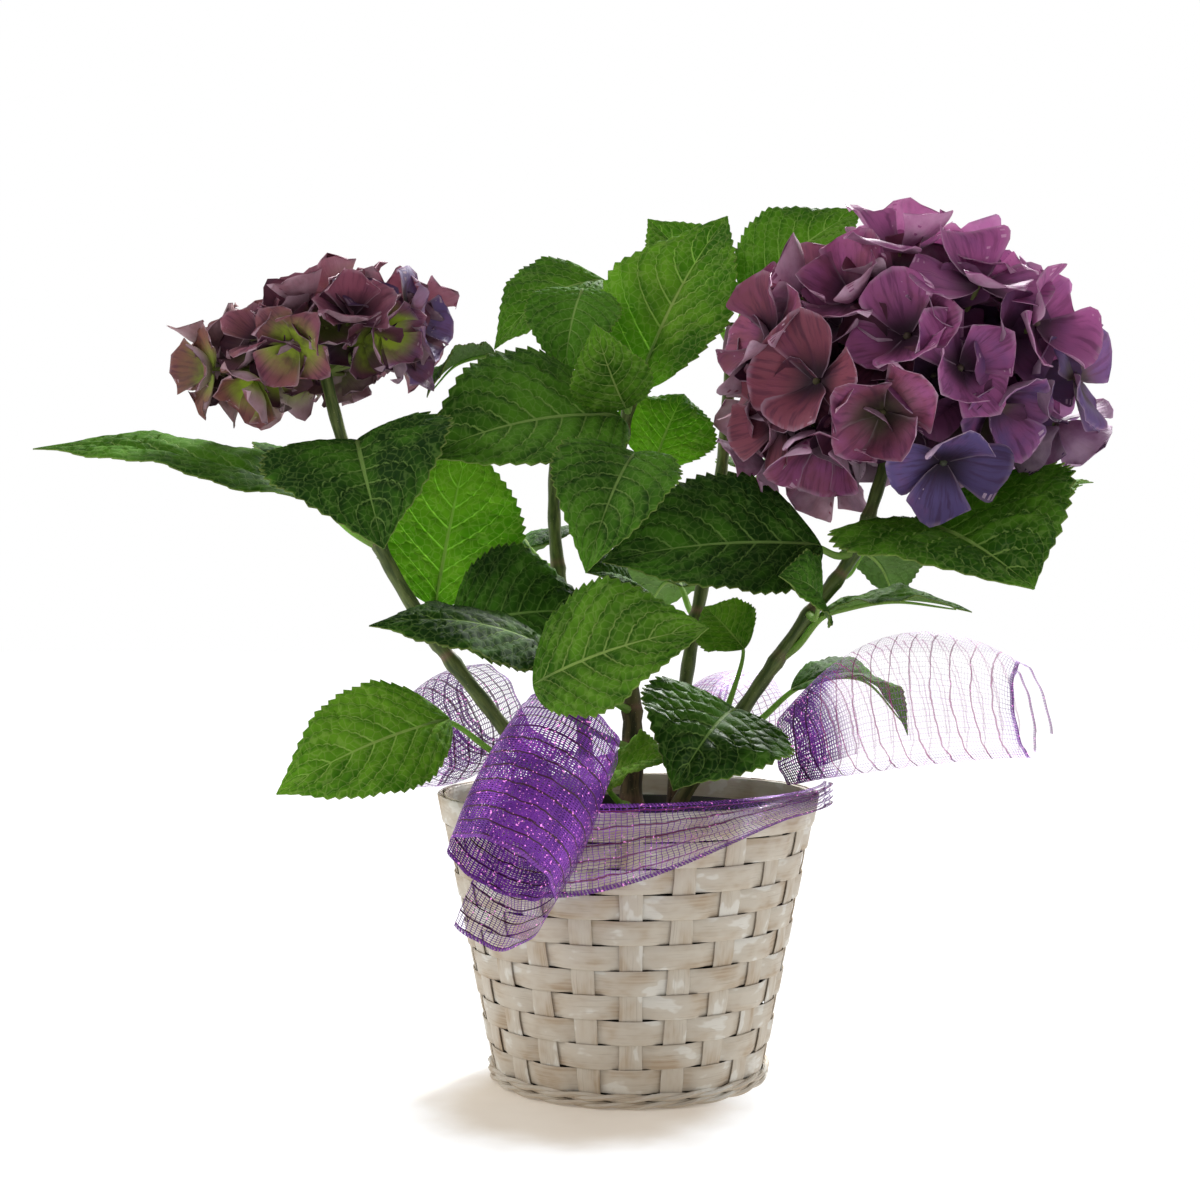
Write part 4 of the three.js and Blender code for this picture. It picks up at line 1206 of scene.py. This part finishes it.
# %% [markdown]
# ## Mesh ribbon
# The ribbon is an open metallic net: fine purple threads both ways, a heavier dark thread every few
# millimetres along its length, and a closely woven edge. Real threads would need a hundred thousand
# faces, so the ribbon is one sheet and its holes are Alpha. The pattern reads the ribbon's own UV, in
# metres, so it bends with the ribbon.
#
# A curl winds round an axis, point = from + axis * share + out(turn) * radius(share), and slips along.

# %% Ribbon paint
RIBBON_EDGE = 1.8 * MM
HEAVY_THREAD = 0.8 * MM
BLACK = (0.0, 0.0, 0.0, 1.0)


def ribbon_paint(width, cell, thread, heavy_pitch):
    """A net for a ribbon this wide: UV is (across from 0 to the width, along), both in metres.

    Where the mark veil is low the net is pulled open, and it is painted paler and more see-through, as
    painted backlight."""

    def lines(start, place, pitch, thick):
        """1 on threads that lie pitch apart, else 0."""
        off = abs(start.math("FRACT", place / pitch) - 0.5) * pitch
        return off.rise(thick * 0.5, thick * 0.3)

    def paint(start):
        across, along = split(start.uv())
        place = start.place()
        sway = (start.noise(place, 130.0, 2.0) - 0.5) * 1.8 * MM
        full, veil_and_painted_light = start.mark("full"), start.mark("veil_and_painted_light")
        fine = start.math(
            "MAXIMUM",
            lines(start, across + sway, cell / 2, full * (thread * 0.75)),
            lines(start, along + sway, cell, full * thread),
        )
        heavy = lines(start, across + sway * 1.5, heavy_pitch, HEAVY_THREAD)
        from_edge = start.math("MINIMUM", across, width - across)
        bound_width = (veil_and_painted_light.rise(0.0, 0.8) * 0.6 + 0.4) * RIBBON_EDGE
        edge = (from_edge / bound_width).rise(1.0, 0.85)
        rib = lines(start, along + across * 0.6, 1.4 * MM, 0.9 * MM)
        # Painted glints: tiny spots that give off pink light, a painted highlight; they are smoother too, and
        # lighten the heavy threads.
        painted_glint = start.noise(place, 900.0, 1.0).rise(0.66, 0.72)
        tone = start.noise(place, 60.0, 2.0).rise(0.3, 0.7)
        thread_tone = tone.mix(colour(92, 30, 136), colour(146, 62, 192))
        # Painted backlight: where the mark veil is low the threads are painted pale pink, and the heavy
        # threads and edge a brighter magenta in place of dark maroon and violet.
        painted_backlit_tone = veil_and_painted_light.rise(0.3, 0.8).mix(colour(206, 96, 214), thread_tone)
        dark_tone = veil_and_painted_light.rise(0.8, 1.0).mix(colour(150, 24, 116), colour(62, 8, 44))
        net = (heavy * (1 - painted_glint * 0.5)).mix(painted_backlit_tone, dark_tone)
        edge_tone = veil_and_painted_light.rise(0.2, 0.7).mix(colour(176, 40, 140), colour(140, 74, 176))
        bound = (edge * (rib * 0.6 + 0.3)).mix(net, edge_tone)
        solid = start.math("MAXIMUM", fine * veil_and_painted_light * veil_and_painted_light, heavy * (0.2 + 0.8 * veil_and_painted_light))
        # Painted glow: where the mark veil is low the net gives off a little light in its own colour, as if
        # lit through from behind.
        glow = ((1 - veil_and_painted_light) * 0.3).mix(BLACK, net)
        return {
            "Base Color": bound,
            "Metallic": (1 - heavy) * 0.3,
            "Roughness": painted_glint.rise(0.0, 1.0, 0.5, 0.25),
            "Emission Color": (painted_glint * veil_and_painted_light).mix(glow, colour(255, 150, 226)),
            "Emission Strength": 1.2,
            "Alpha": start.math("MAXIMUM", solid, edge * (rib * 0.5 + 0.5) * (0.3 + 0.7 * veil_and_painted_light)),
        }

    return paint


# %% Ribbon curls
STEPS_A_TURN = 72
TAIL_CLEAR = 8.8 * MM


def curl_grid(begin, end, radii, turns, slip, start, spread=1.6, lift=0, tail=0):
    """from + axis * share + out * (radius(share) + spread * turns so far) + axis * slip * (turns so far)^2.

    The last part of a turn hangs straight down by the tail's length, in front of the basket's wall."""
    begin, end = np.array(begin) * MM, np.array(end) * MM
    along = end - begin
    axis = unit(along)
    across = unit(np.cross(axis, (0, 1, 0)))
    depth = np.cross(across, axis)
    first, middle, last = np.array(radii) * MM
    steps = np.linspace(0, turns, int(turns * STEPS_A_TURN) + 1)
    wound, s = np.meshgrid(steps, np.linspace(0, 1, 25), indexing="ij")
    turn = start + 2 * np.pi * wound
    ruffle = 0.7 * MM * np.sin(9 * turn + 2 * s) * abs(2 * s - 1) ** 3
    radius = first * (1 - s) * (1 - 2 * s) + 4 * middle * s * (1 - s) + last * s * (2 * s - 1)
    radius = radius + spread * MM * wound + ruffle
    out = across * np.cos(turn)[..., None] + depth * np.sin(turn)[..., None]
    shift = slip * MM * wound**2
    point = begin + along * s[..., None] + axis * shift[..., None] + out * radius[..., None]
    point[..., 2] += 4 * lift * MM * s * (1 - s) - tail * MM * smooth(turns - 0.42, turns - 0.12, wound)
    if tail:
        over = spread * MM * (turns - wound)
        clear = RIM_RADIUS + TAIL_CLEAR + over
        far = np.hypot(point[..., 0], point[..., 1])
        low = 1 - smooth(BASKET_HEIGHT + 7 * MM, BASKET_HEIGHT + 20 * MM, point[..., 2])
        push = np.where(far < clear, 1 + low * (clear / far - 1), 1)
        point[..., :2] *= push[..., None]
    return point, wound / turns, s, turn


def add_ribbon(name, node, grid, held, rests_on, full, veil_and_painted_light, cell=2.2, thread=0.36, heavy_pitch=6.6):
    """One sheet of net. Its cut size is the mean length of the grid's columns and of its rows.

    The marks full and veil say, at each point, how thick its threads are and how solid they look; a low veil
    also paints them paler, as painted backlight."""
    lengths = np.concatenate([[0], np.cumsum(np.linalg.norm(np.diff(grid, axis=0), axis=-1).mean(1))])
    widths = np.concatenate([[0], np.cumsum(np.linalg.norm(np.diff(grid, axis=1), axis=-1).mean(0))])
    width, length = float(widths[-1]), float(lengths[-1])
    shape = Shape()
    shape.skin(grid, lengths, widths, {"full": full, "veil_and_painted_light": veil_and_painted_light}, open_sheet=True)
    net = finish(f"{name}_net", ribbon_paint(width, cell * MM, thread * MM, heavy_pitch * MM))
    sheet = shape.piece(name, net, "mesh_ribbon", node, crease=180)
    print(f"  cut {width / MM:.0f} mm wide and {length / MM:.0f} mm long")


# A ray may pass through this many holes of the net, and bounce this often.
bpy.context.scene.cycles.transparent_max_bounces = 20
bpy.context.scene.cycles.max_bounces = 8
ON_RIM = ["rim_band_outer"]

# The dense curl at the front. Its loose end, the last third of its length, has the net's usual threads.
grid, length_share, _, _ = curl_grid(
    (-23, -68.5, 150), (-48, -103, 100.5), (19, 22, 20), turns=1.46, slip=1, start=-0.59, tail=20
)
full = 1 - 0.55 * smooth(0.68, 0.74, length_share)
thick_net = {"cell": 1.7, "thread": 0.8, "heavy_pitch": 5.6}
add_ribbon("mesh_curl_left", "ribbon_curl_left", grid, "draped", ON_RIM, full, 1.0, **thick_net)
# The open loop at the right is pulled wide, and its far side is painted paler and more see-through, as
# painted backlight. It starts gathered, at the rim.
grid, _, s, turn = curl_grid(
    (66, 2, 134.7), (155, -44, 153.7), (14, 26, 17), turns=1.3, slip=4, start=0.4, lift=12
)
gathered = 1 - smooth(0.02, 0.3, s)
# near is 1 on the loop's near side. The far side gets a low veil, painted paler and more see-through as
# painted backlight; the outline and the gathered start get a higher veil, denser net.
near = 1 - smooth(-0.4, 0.5, np.sin(turn))
outline = smooth(0.8, 1.0, abs(np.cos(turn - 0.25)))
veil_and_painted_light = np.clip(0.1 + 0.5 * near + 0.35 * outline + 0.9 * gathered + 0.6 * smooth(0.94, 1, s), 0, 1)
full = 0.9 + 2.2 * gathered
open_net = {"thread": 0.34, "heavy_pitch": 8}
add_ribbon("mesh_curl_right", "ribbon_curl_right", grid, "draped", ["mesh_band"], full, veil_and_painted_light, **open_net)
# The two curls behind.
grid, *_ = curl_grid((-58, 40, 152.5), (-86, 8, 138.5), (18, 22, 17), turns=1.2, slip=8, start=0.5)
add_ribbon("mesh_curl_back_left", "ribbon_curl_back_left", grid, "draped", ON_RIM, 1.5, 0.95)
grid, *_ = curl_grid((30, 56, 137.1), (60, 108, 143.1), (16, 22, 17), turns=1.2, slip=8, start=0)
add_ribbon("mesh_curl_back", "ribbon_curl_back", grid, "draped", ON_RIM, 1.1, 0.8)

# %% Gathered band
BAND_START = np.radians(-8)
BAND_SWEEP = np.radians(-112)
BAND_NARROW = 10 * MM
BAND_SPREAD = 26 * MM
BAND_CUT = 40 * MM
PLEATS = 4


def band_grid():
    """Gathered net along the front of the rim: height runs over its width, and pleats take up the rest.

    A pleat is about as deep as makes its zigzag as long as the cut width: sqrt(cut^2 - width^2) / 2n."""
    share, s = np.meshgrid(np.linspace(0, 1, 111), np.linspace(0, 1, 57), indexing="ij")
    turn = BAND_START + BAND_SWEEP * share
    width = BAND_NARROW + BAND_SPREAD * smooth(0.25, 0.95, share)
    top = BASKET_HEIGHT + 5.5 * MM - 2 * MM * share
    depth = np.sqrt(np.maximum(BAND_CUT**2 - width**2, 0)) / (2 * PLEATS) * 0.8
    fold = 0.5 - 0.5 * np.cos(2 * np.pi * PLEATS * s + 3 * share)
    radius = RIM_RADIUS + 3.6 * MM + depth * fold
    return np.stack([radius * np.cos(turn), radius * np.sin(turn), top - width * s], -1), share


grid, share = band_grid()
full = 1.9 - 0.9 * smooth(0.05, 0.5, share)
add_ribbon("mesh_band", "ribbon_band", grid, "gathered", ON_RIM, full, 0.92)

# %% [markdown]
# ## The floor
# The floor is a wide pale sheet that shines a little, so that it meets the white wall without a line and
# still takes the basket's shadow. Its glow is weaker round the basket's foot, most of all a little in front
# of it, which paints a shadow there.

# %% The floor
PAINTED_SHADOW_MIDDLE = (-0.02, -0.045, 0)
FLOOR_REACH = 6
FLOOR_CORNERS = [(-1, -1), (1, -1), (1, 1), (-1, 1)]


def floor_paint(start):
    """The glow grows with the distance from the middle of a painted shadow, a little in front of the basket:
    near that middle the floor shines less, which paints its shadow.
    """
    place = start.place()
    far = start.node("VectorMath", {"operation": "DISTANCE"}, {0: place, 1: PAINTED_SHADOW_MIDDLE}, out=1)
    cloud = start.noise(place, 30.0, 3.0)
    # Painted shadow: within about 5 cm of that middle the floor shines only dimly, and by about 9 cm it
    # shines fully.
    glow = (far + cloud * 0.02).rise(0.05, 0.088)
    board = cloud.mix(colour(206, 194, 178), colour(226, 218, 206))
    return {
        "Base Color": glow.mix(board, colour(90, 90, 90)),
        "Roughness": 0.8,
        "Specular IOR Level": 0.2,
        "Emission Color": glow.mix(colour(128, 122, 114), colour(255, 255, 255)),
        "Emission Strength": 1.0,
    }


floor_mesh = bpy.data.meshes.new("floor")
corners = [(x * FLOOR_REACH, y * FLOOR_REACH, 0) for x, y in FLOOR_CORNERS]
floor_mesh.from_pydata(corners, [], [(0, 1, 2, 3)])
floor_mesh.materials.append(finish("pale_floor", floor_paint))
floor = bpy.data.objects.new("floor", floor_mesh)
bpy.context.scene.collection.objects.link(floor)
